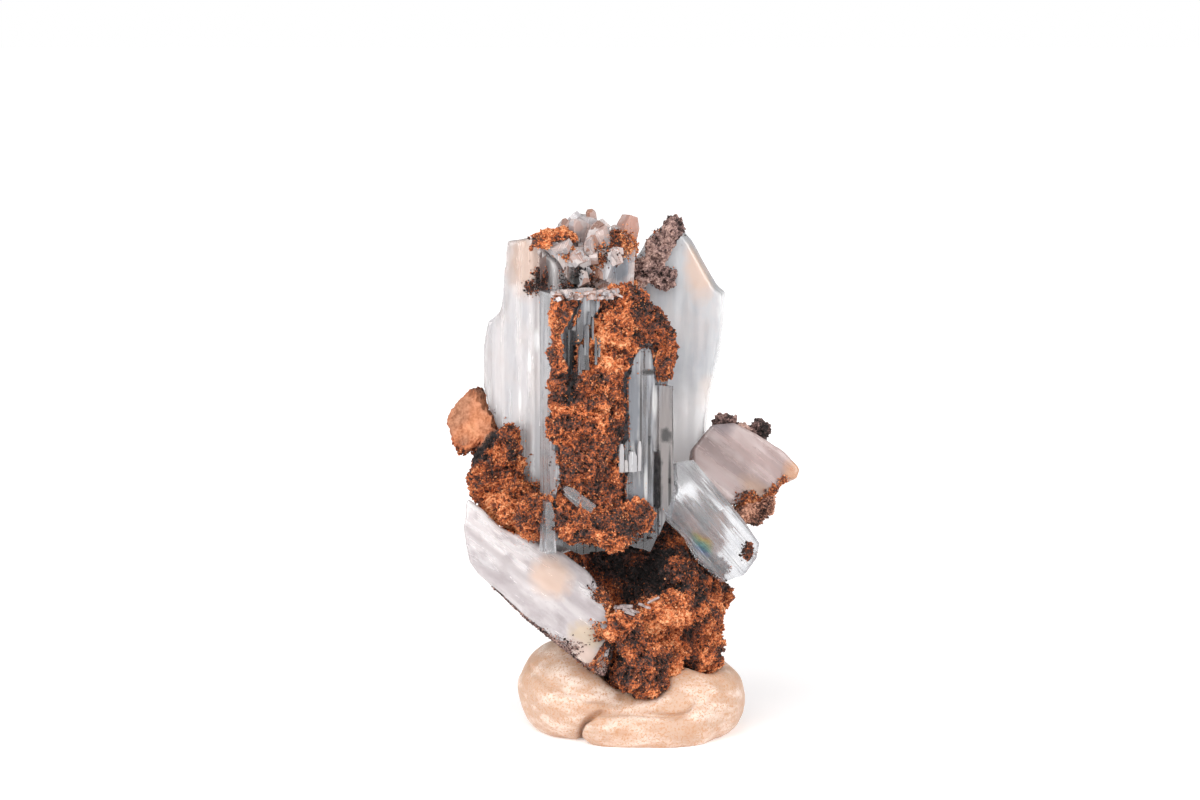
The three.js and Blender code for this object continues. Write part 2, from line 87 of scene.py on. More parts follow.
# Looks of barite. pale and shade are the broad streaks, veil the number to a millimetre and the strength
# of fine white streaks, lines the strength of fine dark ones (these fine streaks are partly the crystal's
# own fibres and partly painted sheen and painted dark reflections along the striations), cloud a soft
# mottling's colour, strength and number to a millimetre, absorb and density the absorption inside, milk the
# share of scattered light, and grain the strength of the fine relief.
BARITE_IOR = 1.64
BARITE_LOOKS = {
    "barite_center_column": {
        "pale": (0.46, 0.48, 0.52), "shade": (0.14, 0.14, 0.16), "veil": (3.4, 0.5),
        "cloud": ((0.36, 0.32, 0.31), 0.5, 0.7),
        "transmission": 0.55, "roughness": (0.05, 0.24), "absorb": (0.70, 0.72, 0.76), "density": 100,
        "milk": 0.0, "grain": 0.5, "lines": 1.0,
    },
    "barite_left_blade": {
        "pale": (0.70, 0.66, 0.66), "shade": (0.58, 0.57, 0.59), "veil": (3.0, 0.22),
        "cloud": ((0.62, 0.55, 0.53), 0.5, 0.8),
        "transmission": 0.45, "roughness": (0.12, 0.32), "absorb": (0.85, 0.86, 0.88), "density": 60,
        "milk": 0.4, "grain": 0.14, "lines": 0.1,
    },
    "barite_back_blade": {
        "pale": (0.60, 0.61, 0.63), "shade": (0.53, 0.54, 0.57), "veil": (1.6, 0.15),
        "cloud": ((0.68, 0.63, 0.62), 0.7, 0.5),
        "transmission": 0.45, "roughness": (0.10, 0.26), "absorb": (0.82, 0.85, 0.88), "density": 50,
        "milk": 0.4, "grain": 0.06, "lines": 0.06,
    },
    "barite_clear_prism": {
        "pale": (0.88, 0.89, 0.91), "shade": (0.60, 0.61, 0.64), "veil": (2.2, 0.35),
        "cloud": ((0.70, 0.71, 0.74), 0.4, 0.7),
        "transmission": 0.86, "roughness": (0.12, 0.30), "absorb": (0.88, 0.89, 0.90), "density": 40,
        "milk": 0.0, "grain": 0.14, "lines": 0.25,
    },
    "barite_right_blade": {
        "pale": (0.47, 0.35, 0.335), "shade": (0.37, 0.285, 0.275), "veil": (1.5, 0.12),
        "cloud": ((0.54, 0.44, 0.42), 0.6, 0.8),
        "transmission": 0.30, "roughness": (0.18, 0.36), "absorb": (0.80, 0.72, 0.70), "density": 80,
        "milk": 0.3, "grain": 0.05, "lines": 0.1,
    },
    "barite_lower_blade": {
        "pale": (0.74, 0.69, 0.69), "shade": (0.54, 0.49, 0.50), "veil": (1.2, 0.35),
        "cloud": ((0.44, 0.39, 0.40), 0.85, 1.3),
        "transmission": 0.35, "roughness": (0.14, 0.34), "absorb": (0.86, 0.82, 0.80), "density": 60,
        "milk": 0.4, "grain": 0.06, "lines": 0.1,
    },
    # A darker copy of the column's look: painted shade on slivers set deep in the crust's gaps.
    "barite_shade_painted_slivers": {
        "pale": (0.24, 0.25, 0.28), "shade": (0.05, 0.05, 0.055), "veil": (3.4, 0.4),
        "cloud": ((0.20, 0.18, 0.18), 0.5, 0.7),
        "transmission": 0.5, "roughness": (0.05, 0.24), "absorb": (0.70, 0.72, 0.76), "density": 100,
        "milk": 0.0, "grain": 0.4, "lines": 0.6,
    },
    "barite_top_crystals": {
        "pale": (0.66, 0.58, 0.56), "shade": (0.40, 0.33, 0.32), "veil": (5.0, 0.2),
        "cloud": ((0.36, 0.22, 0.18), 0.6, 1.2),
        "transmission": 0.3, "roughness": (0.10, 0.32), "absorb": (0.80, 0.74, 0.72), "density": 80,
        "milk": 0.2, "grain": 0.25, "lines": 0.4,
    },
}
# Colours of the patches that the top crystals are broken into, each from its place between 0 and 1.
PATCHWORK = [
    (0.0, (0.40, 0.37, 0.38)), (0.2, (0.82, 0.72, 0.69)), (0.42, (0.58, 0.38, 0.33)),
    (0.54, (0.84, 0.77, 0.76)), (0.74, (0.42, 0.17, 0.09)), (0.82, (0.18, 0.12, 0.11)),
    (0.88, (0.54, 0.52, 0.54)),
]
PATCHWORK_SCALE = 1.2

# Stains, tinted zones and painted light inside the blades, in the blade's own frame: centre, half-sizes and
# colour. The painted light is shade in slots, slits and gaps, highlights (glints) and lighter patches on
# sides in shade. Those wider than THIN_MARK have ragged borders.
# Black, mostly painted shade: in the column's slot, slits, crack and foot, and in the lines between the
# painted highlights. It also gives one black spot on the column and a black patch on the top crystals.
SHADE_BLACK = (0.020, 0.017, 0.016)
TAN = (0.78, 0.60, 0.52)
BEIGE = (0.66, 0.48, 0.39)
APRICOT = (0.55, 0.30, 0.18)
PEACH = (0.76, 0.57, 0.47)
SMOKE = (0.62, 0.63, 0.65)
SLATE = (0.26, 0.28, 0.32)
# Painted highlights: near-white glints on the column, the left and back blades and the clear prism.
PAINTED_HIGHLIGHT = (0.95, 0.95, 0.95)
FAWN = (0.48, 0.33, 0.26)
THIN_MARK = 0.3
STAINS_AND_PAINTED_LIGHT = {
    "barite_center_column": [
        ((-2.6, -2.0, 4.7), (0.55, 2.5, 2.6), SHADE_BLACK),
        ((2.2, -2.2, -6.6), (1.3, 1.6, 2.6), SLATE),
        ((1.7, -2.2, 1.4), (0.7, 1.6, 3.4), SLATE),
        ((0.0, 0.0, -9.4), (8.0, 8.0, 0.9), SHADE_BLACK),
        ((2.2, -2.2, -8.6), (1.7, 2.0, 1.4), (0.10, 0.10, 0.11)),
        ((4.2, -2.2, -2.0), (0.9, 1.6, 5.5), (0.36, 0.32, 0.31)),
        ((3.6, -2.0, -4.3), (0.36, 1.8, 2.8), SHADE_BLACK),
        ((4.76, -2.2, 0.4), (0.08, 1.2, 3.6), SHADE_BLACK),
        ((4.2, -2.2, -1.0), (0.48, 1.4, 0.62), SHADE_BLACK),
        ((2.95, -2.2, 3.8), (0.7, 1.0, 0.26), SHADE_BLACK),
        # Painted light: the column's left side, which lies in shade, is painted lighter.
        ((-5.2, 0.0, 0.0), (1.1, 6.0, 14.0), (0.88, 0.86, 0.87)),
        ((2.35, -2.2, 0.4), (0.10, 1.0, 4.4), SHADE_BLACK),
        ((2.95, -2.2, -2.4), (0.09, 1.0, 3.4), SHADE_BLACK),
        ((1.25, -2.2, 0.8), (0.10, 1.0, 3.0), SHADE_BLACK),
        ((4.5, -2.2, -4.6), (0.12, 1.0, 3.0), SHADE_BLACK),
        ((3.4, -2.2, 1.6), (0.24, 1.0, 1.4), PAINTED_HIGHLIGHT),
        ((0.85, -2.2, -2.6), (0.16, 1.0, 1.1), PAINTED_HIGHLIGHT),
        ((1.25, -2.2, -2.9), (0.14, 1.0, 0.9), PAINTED_HIGHLIGHT),
        ((1.75, -2.2, -2.5), (0.20, 1.0, 1.2), PAINTED_HIGHLIGHT),
        ((1.05, -2.2, -2.8), (0.08, 1.0, 1.4), SHADE_BLACK),
        ((1.5, -2.2, -2.6), (0.08, 1.0, 1.6), SHADE_BLACK),
        ((2.7, -2.2, -4.6), (0.16, 1.0, 1.6), PAINTED_HIGHLIGHT),
    ],
    "barite_left_blade": [
        ((-0.3, -1.5, 10.4), (1.7, 3.0, 2.7), BEIGE),
        ((1.9, -1.5, -4.0), (1.5, 3.0, 7.0), SMOKE),
        ((0.6, -1.5, 4.7), (0.2, 1.0, 0.9), PAINTED_HIGHLIGHT),
        ((0.05, -1.5, 3.0), (0.16, 1.0, 0.8), PAINTED_HIGHLIGHT),
        ((1.1, -1.5, -1.2), (0.14, 1.0, 0.9), PAINTED_HIGHLIGHT),
        ((-0.8, -1.5, 0.1), (0.14, 1.0, 1.0), PAINTED_HIGHLIGHT),
        ((0.1, -1.5, -7.0), (0.16, 1.0, 0.9), PAINTED_HIGHLIGHT),
    ],
    "barite_back_blade": [
        ((2.7, -1.6, 6.4), (1.3, 3.0, 3.0), PEACH),
        ((3.3, -1.6, -5.0), (1.0, 3.0, 3.0), PEACH),
        ((-3.4, -1.6, 2.5), (1.6, 3.0, 3.2), SMOKE),
        ((5.0, 0.0, 6.0), (1.0, 6.0, 9.0), PAINTED_HIGHLIGHT),
        # Painted light: the low part of the back blade, in the column's shadow, is painted lighter.
        ((2.4, -1.6, -8.0), (3.4, 3.0, 6.0), (0.92, 0.90, 0.90)),
    ],
    "barite_right_blade": [
        ((1.2, -1.0, -3.0), (1.2, 2.0, 1.1), APRICOT),
        ((0.5, -1.0, 3.9), (1.1, 2.0, 1.3), (0.28, 0.23, 0.24)),
        ((-1.9, -1.0, -1.8), (0.8, 2.0, 1.9), FAWN),
    ],
    "barite_clear_prism": [
        ((0.0, -1.4, -3.2), (0.9, 1.6, 0.7), PAINTED_HIGHLIGHT),
    ],
    "barite_lower_blade": [
        ((0.9, -1.5, -0.8), (1.6, 3.0, 1.8), PEACH),
        ((-1.0, -1.5, -5.6), (0.9, 3.0, 1.5), (0.70, 0.57, 0.44)),
        ((-2.2, -1.5, -6.6), (0.9, 3.0, 2.2), TAN),
    ],
    "barite_top_crystals": [
        ((-3.0, -1.5, -1.6), (0.7, 3.0, 2.0), (0.14, 0.09, 0.08)),
        ((-0.6, -2.0, -1.6), (1.2, 3.0, 0.9), SHADE_BLACK),
        ((3.5, 0.0, 2.2), (1.0, 4.0, 1.8), (0.50, 0.27, 0.21)),
        ((2.6, -1.8, -0.6), (1.1, 2.0, 1.3), SLATE),
    ],
}
# Painted iridescent reflection, the play of colours that light makes on a cleavage inside the clear prism:
# place, half-sizes, and the colours across it.
RAINBOW_PLACE = (-1.2, -1.4, -0.5)
RAINBOW_SIZE = (0.65, 1.6, 1.0)
RAINBOW = [
    (0.0, (0.80, 0.42, 0.46)), (0.2, (0.85, 0.48, 0.14)), (0.4, (0.72, 0.72, 0.26)),
    (0.6, (0.22, 0.62, 0.55)), (0.8, (0.08, 0.26, 0.75)), (1.0, (0.52, 0.30, 0.60)),
]

# Goethite: voxel size of the skin, how far it sinks in its gaps and stands out on its clumps, how many
# swells, clumps, walls and crumbs there are to a millimetre, and the tones of its broad patches.
GOETHITE_NODES = {
    "goethite_matrix": "rust", "goethite_crown": "rust", "goethite_peak": "umber",
    "goethite_right_crust": "sienna", "goethite_right_knobs": "umber", "goethite_tip_crust": "rust",
}
SKIN_VOXEL = 0.165
SKIN_ROUNDS = 2
SKIN_DEEPEST = -0.6
SKIN_HIGHEST = 0.4
SMALL_CRUST_RELIEF = 0.8
SWELL_SCALE = 0.33
CLUMP_SCALE = 0.9
WALL_SCALE = 2.0
CRUMB_SCALE = 4.4
MIDDLE_TONE = 0.45
PATCH_SCALE = 0.85
PATCH_TONE = 0.42
# Zones of the goethite that are lighter or darker than the rest: centre, radius and change of tone. The
# darker ones marked below are painted shade in hollows.
TONE_ZONES = [
    ((-1.0, -6.3, 30.5), 2.4, 0.32),
    ((-4.2, -6.7, 31.5), 1.6, 0.30),
    ((2.8, -5.0, 31.6), 2.3, -0.12),
    # Painted shade: these four darken the hollow set back under the column's foot.
    ((0.4, -2.6, 13.0), 2.4, -0.4),
    ((-2.0, -3.0, 13.2), 2.0, -0.45),
    ((2.6, -2.8, 12.8), 1.8, -0.4),
    ((5.0, -3.8, 12.6), 2.2, -0.28),
    ((3.8, -5.0, 10.4), 2.3, 0.26),
    # Painted shade: this and the next darken the goethite in two dents.
    ((0.75, -6.2, 8.4), 1.0, -0.28),
    ((-1.65, -7.0, 17.1), 0.7, -0.6),
    ((2.2, 2.2, 35.8), 2.4, 0.30),
    ((9.0, -5.2, 13.9), 1.2, -0.25),
    ((-8.3, -2.6, 16.2), 1.8, 0.42),
    ((-2.6, -7.0, 16.6), 2.2, 0.1),
    ((11.2, 1.0, 17.0), 1.3, 0.42),
    ((9.4, 0.6, 16.6), 1.2, 0.36),
    ((9.5, 2.9, 22.9), 0.7, 0.5),
    ((10.9, 3.2, 22.8), 1.2, -0.42),
    ((7.6, 3.0, 23.2), 1.0, -0.4),
    ((-0.9, -6.2, 10.2), 1.1, 0.35),
    ((-0.5, -6.4, 8.8), 0.9, 0.3),
    ((0.2, -6.2, 5.4), 1.3, -0.2),
    ((-9.2, -1.0, 17.8), 3.0, 0.28),
    ((-11.4, 1.2, 23.4), 2.0, 0.15),
    # Painted shade in the dark hole of the left lump.
    ((-8.7, -0.8, 19.9), 0.7, -0.6),
    ((0.6, -5.8, 5.6), 2.0, -0.06),
    ((-4.9, -0.8, 37.4), 2.0, 0.30),
]
# Painted shade in slits of the goethite, under the flake on the far left and in the column's slot: two ends,
# radius and change of tone.
SHADED_SLITS = [
    ((-11.3, 0.0, 20.7), (-9.5, -0.3, 22.5), 0.45, -0.9),
    ((-3.7, -6.7, 26.2), (-3.6, -6.7, 30.8), 0.35, -0.8),
]
# Hollows pressed into the goethite: centre, radius and depth.
DENTS = [
    ((0.75, -6.4, 8.3), 1.3, 1.0), ((-1.65, -7.4, 17.2), 0.8, 0.9), ((-3.6, -7.6, 17.9), 0.7, 0.6),
    ((0.4, -6.6, 17.6), 0.8, 0.7), ((4.4, -4.8, 7.4), 1.2, 0.7), ((-8.9, -1.9, 19.4), 0.9, 0.9),
    ((3.0, -5.1, 29.5), 0.6, 0.7), ((2.1, -5.6, 31.3), 0.7, 0.7), ((3.5, -4.8, 31.8), 0.6, 0.7),
    ((0.6, -6.1, 32.8), 0.6, 0.6), ((-1.9, -6.7, 26.4), 0.6, 0.6), ((-2.9, -7.0, 22.2), 0.6, 0.6),
    ((4.3, -4.2, 31.9), 0.5, 0.6), ((4.4, -4.0, 29.9), 0.45, 0.6), ((4.2, -4.0, 28.4), 0.4, 0.5),
    ((3.4, -4.4, 33.0), 0.45, 0.5), ((-7.0, -1.6, 22.3), 0.9, 0.9), ((-6.9, -1.8, 20.9), 0.8, 0.7),
]
# The loose crusts are moved by these amounts, toward the barite they grew on.
NUDGES = {
    "goethite_right_crust": (-0.1, 0.1, 0.25), "goethite_tip_crust": (-0.3, 0.1, 0.2),
    "goethite_right_knobs": (-0.1, -0.2, -0.25), "goethite_peak": (0.1, 0.05, -0.3),
}
# The flake on the far left is smooth: centre and radius of what the relief and the grains leave alone.
CALM_CENTRE = (-11.3, 1.6, 23.6)
CALM_RADIUS = 2.5
# The crust in front of the column is pressed back. In the column's own frame: how far, between which sides
# and ends, the depth where that starts, and the run over which it fades in.
CRUST_PRESS = 0.35
CRUST_SIDES = (-6.0, 6.5)
CRUST_ENDS = (-7.5, 12.0)
CRUST_FRONT = -1.6
CRUST_FADE = 0.5
# Grains: how many to a piece, how many pieces cover the matrix, the ranges of their radius and length, and
# the share of them that the back gets.
MATRIX_GRAINS = 31000
MATRIX_SETS = 2
SMALL_CRUST_GRAINS = {
    "goethite_crown": 900, "goethite_peak": 350, "goethite_right_crust": 900, "goethite_right_knobs": 120,
    "goethite_tip_crust": 350,
}
GRAIN_RADIUS = (0.035, 0.11)
GRAIN_LENGTH = (0.7, 1.6)
BACK_SHARE = 0.35
# Crumbs strewn on the barite beside the crust's edge: how many, how far they scatter, and how far off the
# barite a crumb may start.
EDGE_CRUMBS = 9000
EDGE_SCATTER = 0.55
EDGE_REACH = 0.9
# A film of crumbs on the column's front, in the column's own frame: centre and half-sizes across and up.
FILM_ZONES = [
    ((-1.6, -3.2), (2.9, 5.2)), ((-0.6, 3.0), (1.7, 4.6)), ((-3.7, 8.0), (0.8, 1.5)),
    ((1.6, 8.4), (2.0, 1.9)), ((3.5, 7.2), (1.0, 2.4)), ((-4.1, 3.2), (0.4, 2.4)),
    ((-1.4, 9.6), (2.8, 0.4)), ((0.6, -8.0), (3.4, 1.0)),
]
FILM_CRUMBS = 16000
FILM_FRONT = -2.2
FILM_THICKNESS = 0.3
# A dirty rim along the lower blade's lower edge: places, and how far the crumbs stray at each of them.
RIM_LINE = [
    (-10.2, -3.9, 11.4), (-8.6, -4.4, 10.2), (-7.2, -4.8, 9.0), (-5.2, -5.4, 7.5), (-3.6, -6.0, 6.4),
    (-1.9, -6.5, 5.4),
]
RIM_STRAY = [0.12, 0.18, 0.22, 0.35, 0.6, 0.8]
RIM_CRUMBS = 9000
# Small patches of crust on the barite: centre, spread, number of crumbs and change of tone. Their thickness
# is a share of their spread.
PATCHES = [
    ((-0.5, -0.9, 37.1), 0.5, 2000, 0.2), ((0.5, 0.2, 36.7), 0.4, 1000, 0.18),
    ((-3.9, -1.8, 36.2), 0.22, 500, 0.25), ((-3.0, -1.6, 34.6), 0.5, 1300, -0.35),
    ((-5.9, -1.6, 34.5), 0.45, 1100, -0.22), ((-4.6, -1.6, 33.6), 0.6, 1100, -0.12),
    ((-6.9, -0.9, 33.7), 0.25, 300, -0.2), ((-1.6, -1.2, 36.0), 0.4, 700, 0.05),
    ((9.2, 0.6, 17.4), 0.35, 600, -0.05), ((10.4, 0.8, 17.6), 0.4, 800, 0.0),
    ((11.4, 1.1, 18.1), 0.35, 600, 0.05), ((12.2, 1.5, 18.8), 0.2, 200, 0.1),
    ((-7.3, -1.2, 17.9), 0.6, 3000, 0.1), ((-6.0, -2.0, 18.0), 0.55, 2600, 0.05),
    ((-5.0, -1.6, 18.6), 0.4, 1200, 0.1), ((3.75, 2.4, 38.2), 0.3, 500, -0.1),
    ((3.0, 2.4, 37.3), 0.4, 500, -0.2), ((1.6, 1.8, 35.0), 0.5, 700, -0.25),
    ((3.2, 1.9, 34.6), 0.25, 300, -0.1), ((-1.4, -5.2, 11.3), 0.4, 1300, 0.0),
    ((-1.3, -5.6, 10.0), 0.4, 1300, 0.1), ((-1.2, -5.9, 8.7), 0.4, 1300, 0.0),
    ((-1.2, -6.2, 7.4), 0.4, 1300, -0.1), ((-2.2, -6.2, 6.8), 0.4, 1000, -0.15),
    ((9.2, -4.8, 14.5), 0.25, 250, -0.2), ((8.4, -5.3, 12.9), 0.25, 200, -0.25),
]
PATCH_THICKNESS = 0.55

# Small tablets grown over the top crystals: how many, the ranges of their width, height and thickness, the
# lowest and sideways places, and their tilt.
SPRIGS = 46
SPRIG_SIZES = ((0.5, 1.5), (0.5, 1.5), (0.3, 0.7))
SPRIG_FLOOR = 33.6
SPRIG_REACH = (-6.2, -0.2)
SPRIG_TILT = 28.0
# Slivers of barite in the column's crust, in the column's own frame: how many, their sizes, place and tilt.
SLIVERS = 9
SLIVER_SIZES = ((0.12, 0.35), (0.8, 2.4), (0.3, 0.5))
SLIVER_AREA = ((-2.5, -0.9), (-2.4, -2.2), (4.6, 8.2))
SLIVER_TILT = 4.0
# Larger slivers at the column's foot, and bright plates beside its crust, in the column's own frame: place,
# size and roll. The plates are milky white tablets that stand in for glints: painted highlights.
FOOT_SLIVERS = [
    ((-2.56, -1.90, -5.3), (0.7, 2.8, 0.8), -52), ((-2.85, -1.81, -5.6), (0.3, 2.2, 0.9), -48),
    ((-4.90, -2.30, -7.3), (0.7, 3.8, 0.8), -3), ((-5.22, -1.98, -7.5), (0.3, 3.2, 0.6), 2),
]
GLINT_PLATES = [
    ((0.70, -2.25, -2.45), (0.34, 2.1, 0.3), 1), ((1.06, -2.22, -3.05), (0.28, 0.9, 0.3), -1),
    ((1.56, -2.27, -2.75), (0.62, 1.5, 0.3), 0), ((2.10, -2.24, -2.35), (0.24, 2.2, 0.3), 1),
]
# The pinkish ridge along the column's upper edge, in the column's own frame: how many tablets, their sizes,
# place and tilt.
RIDGE = 70
RIDGE_SIZES = ((0.2, 0.8), (0.15, 0.45), (0.4, 0.9))
RIDGE_AREA = ((-4.2, 0.6), (-2.3, -1.2), (9.4, 9.9))
RIDGE_TILT = 18.0
# Thin pinkish tablets on the lower lump's upper edge: how many, their sizes, the middle and half-sizes of
# their place, and their slope.
LEDGE = 12
LEDGE_SIZES = ((0.4, 1.2), (0.12, 0.3), (0.3, 0.7))
LEDGE_CENTRE = (0.6, -5.7, 10.8)
LEDGE_HALVES = (1.9, 1.3, 0.8)
LEDGE_SLOPE = 20.0

# Putty: voxel size, smoothing rounds and its creases, as X, Z and depth in millimetres. The first crease is
# above the roll, which swells out below it.
PUTTY_VOXEL = 0.15
PUTTY_ROUNDS = 9
ROLL_CREASE = [
    (-2.95, 0.1, 0.9), (-2.95, 1.0, 0.9), (-2.6, 1.7, 0.8), (-1.7, 2.3, 0.6), (0.0, 2.5, 0.4),
    (2.0, 2.4, 0.35), (3.8, 2.2, 0.35), (4.8, 2.4, 0.35), (5.4, 3.0, 0.3), (5.6, 3.8, 0.2),
    (5.5, 4.4, 0.0),
]
LOBE_CREASE = [(-7.2, 5.0, 0.1), (-4.9, 3.8, 0.3), (-2.6, 3.1, 0.3), (-0.6, 2.8, 0.2), (0.8, 2.7, 0.0)]
CREASE_WIDTH = 0.2
ROLL_SWELL = 0.4

# Camera: a long lens a little above the object, with its aim at the middle of the picture.
CAMERA_AIM = (-1.65, 0.0, 25.2)
CAMERA_DISTANCE = 250.0
CAMERA_ELEVATION = 7.0
CAMERA_LENS = 100.0
SENSOR_WIDTH = 36.0

# Studio: the white surround as the camera sees it and as it lights the object, the floor's own glow, which
# grows with the distance from the object, and the lights, each with its place, power and size.
WHITE = (1.0, 1.0, 1.0, 1.0)
SURROUND_SEEN = 1.0
SURROUND_LIGHT = 0.5
FLOOR_SIZE = 6000.0
FLOOR_GLOW_REACH = (40.0, 160.0)
FLOOR_GLOW_NEAR = 0.25
FLOOR_GLOW_FAR = 0.7
LIGHTS = {
    "key": ((-100.0, -200.0, 240.0), 0.75, 240.0),
    "left": ((-230.0, -120.0, 90.0), 0.20, 110.0),
    "right": ((210.0, -130.0, 130.0), 0.38, 160.0),
}


# Shader helpers

def new_material(name):
    material = bpy.data.materials.new(name)
    material.use_nodes = True
    tree = material.node_tree
    return material, tree, tree.nodes["Principled BSDF"]


def set_inputs(tree, made, inputs):
    """Sets a node's inputs, by a link where the value is another node's output."""
    for key, value in inputs.items():
        if isinstance(value, bpy.types.NodeSocket):
            tree.links.new(value, made.inputs[key])
        else:
            made.inputs[key].default_value = value


def add_node(tree, kind, inputs=None, **settings):
    made = tree.nodes.new(kind)
    for key, value in settings.items():
        setattr(made, key, value)
    set_inputs(tree, made, inputs or {})
    return made


def rgba(color):
    """A colour with full opacity, or a node's output as it is."""
    return color if isinstance(color, bpy.types.NodeSocket) else (*color, 1.0)


def mix_colors(tree, factor, first, second):
    inputs = {0: factor, 6: rgba(first), 7: rgba(second)}
    return add_node(tree, "ShaderNodeMix", inputs, data_type="RGBA").outputs[2]


def ramp(tree, factor, stops):
    made = add_node(tree, "ShaderNodeValToRGB", {"Fac": factor})
    elements = made.color_ramp.elements
    while len(elements) < len(stops):
        elements.new(0.5)
    for element, (place, color) in zip(elements, stops):
        element.position = place
        element.color = rgba(color)
    return made.outputs["Color"]


def spread(tree, value, low, high, to_low, to_high):
    made = add_node(
        tree, "ShaderNodeMapRange",
        {"Value": value, "From Min": low, "From Max": high, "To Min": to_low, "To Max": to_high},
    )
    return made.outputs["Result"]


def math_value(tree, operation, first, second=0.0):
    return add_node(tree, "ShaderNodeMath", {0: first, 1: second}, operation=operation).outputs["Value"]


def vector_math(tree, operation, first, second, output="Vector"):
    made = add_node(tree, "ShaderNodeVectorMath", {0: first, 1: second}, operation=operation)
    return made.outputs[output]


def millimetres(tree):
    place = tree.nodes.new("ShaderNodeTexCoord")
    return vector_math(tree, "DIVIDE", place.outputs["Object"], (MM, MM, MM))


def stretched(tree, vector, scale):
    return vector_math(tree, "MULTIPLY", vector, scale)


def noise_value(tree, vector, scale, detail=4.0, roughness=0.55):
    made = add_node(
        tree, "ShaderNodeTexNoise",
        {"Vector": vector, "Scale": scale, "Detail": detail, "Roughness": roughness},
    )
    return made.outputs["Fac"]


def bump(tree, surface, height, strength, distance_mm):
    made = add_node(
        tree, "ShaderNodeBump", {"Height": height, "Strength": strength, "Distance": distance_mm * MM},
    )
    tree.links.new(made.outputs["Normal"], surface.inputs["Normal"])


def attribute(tree, name, output):
    made = add_node(tree, "ShaderNodeAttribute", attribute_name=name)
    return made.outputs[output]


# Materials

def wavered(tree, strand):
    """The strand coordinates, pushed about a little so that stains and painted marks have ragged edges."""
    made = add_node(tree, "ShaderNodeTexNoise", {"Vector": strand, "Scale": 1.4, "Detail": 3.0})
    centred = vector_math(tree, "SUBTRACT", made.outputs["Color"], (0.5, 0.5, 0.5))
    return vector_math(tree, "ADD", strand, stretched(tree, centred, (0.6, 0.6, 1.2)))


def ellipsoid_mask(tree, place, centre, radii):
    """1 at the centre of an ellipsoid, falling softly to 0 just past its surface."""
    offset = vector_math(tree, "SUBTRACT", place, centre)
    distance = vector_math(tree, "LENGTH", vector_math(tree, "DIVIDE", offset, radii), (0, 0, 0), "Value")
    return spread(tree, distance, 0.55, 1.15, 1.0, 0.0)


def rainbow_color(tree, strand, color):
    offset = vector_math(tree, "SUBTRACT", strand, RAINBOW_PLACE)
    across = vector_math(tree, "DOT_PRODUCT", offset, (0.55, 0.0, 0.18), "Value")
    hues = ramp(tree, spread(tree, across, 0.5, -0.5, 0.0, 1.0), RAINBOW)
    return mix_colors(tree, ellipsoid_mask(tree, strand, RAINBOW_PLACE, RAINBOW_SIZE), color, hues)


def patchwork_color(tree, strand):
    """Patches of a few colours with straight borders, as on a cluster of small broken crystals."""
    cells = add_node(tree, "ShaderNodeTexVoronoi", {"Vector": strand, "Scale": PATCHWORK_SCALE})
    chance = vector_math(tree, "DOT_PRODUCT", cells.outputs["Color"], (1.0, 0.0, 0.0), "Value")
    return ramp(tree, chance, PATCHWORK)


def barite_color(tree, node, look, strand, fine):
    broad = noise_value(tree, stretched(tree, strand, (0.8, 0.5, 0.09)), 1.0, 3.0, 0.5)
    cloud_color, cloud_strength, cloud_scale = look["cloud"]
    clouds = noise_value(tree, stretched(tree, strand, (1.0, 1.0, 0.5)), cloud_scale, 5.0, 0.65)
    color = mix_colors(tree, spread(tree, broad, 0.40, 0.60, 0.0, 1.0), look["shade"], look["pale"])
    # Fine white and dark streaks: partly the fibres' own colour, partly painted sheen and painted dark
    # reflections.
    color = mix_colors(tree, spread(tree, fine, 0.51, 0.62, 0.0, look["veil"][1]), color, (0.9, 0.9, 0.9))
    color = mix_colors(tree, spread(tree, fine, 0.46, 0.37, 0.0, look["lines"]), color, (0.13, 0.13, 0.14))
    color = mix_colors(tree, spread(tree, clouds, 0.48, 0.66, 0.0, cloud_strength), color, cloud_color)
    ragged = wavered(tree, strand)
    if node == "barite_top_crystals":
        color = mix_colors(tree, 0.8, color, patchwork_color(tree, ragged))
    # Stains and tints, and painted shade, painted highlights and painted lighter patches, from the blade's
    # list.
    for centre, radii, mark_color in STAINS_AND_PAINTED_LIGHT.get(node, []):
        place = strand if min(radii) < THIN_MARK else ragged
        color = mix_colors(tree, ellipsoid_mask(tree, place, centre, radii), color, mark_color)
    # Painted iridescent reflection on the clear prism's cleavage.
    if node == "barite_clear_prism":
        color = rainbow_color(tree, ragged, color)
    return color


def barite_material(node, look):
    material, tree, surface = new_material(node)
    strand = attribute(tree, "strand", "Vector")
    often = look["veil"][0]
    fine = noise_value(tree, stretched(tree, strand, (often, 0.8 * often, 0.2)), 1.0, 5.0, 0.6)
    set_inputs(tree, surface, {
        "Base Color": barite_color(tree, node, look, strand, fine),
        "Roughness": spread(tree, fine, 0.3, 0.7, *look["roughness"]),
        "IOR": BARITE_IOR,
        "Transmission Weight": look["transmission"],
        "Subsurface Weight": look["milk"],
        "Subsurface Radius": (1.0, 0.95, 0.92),
        "Subsurface Scale": 1.2 * MM,
    })
    bump(tree, surface, fine, look["grain"], 0.04)
    absorb = add_node(
        tree, "ShaderNodeVolumeAbsorption", {"Color": rgba(look["absorb"]), "Density": look["density"]},
    )
    tree.links.new(absorb.outputs["Volume"], tree.nodes["Material Output"].inputs["Volume"])
    return material


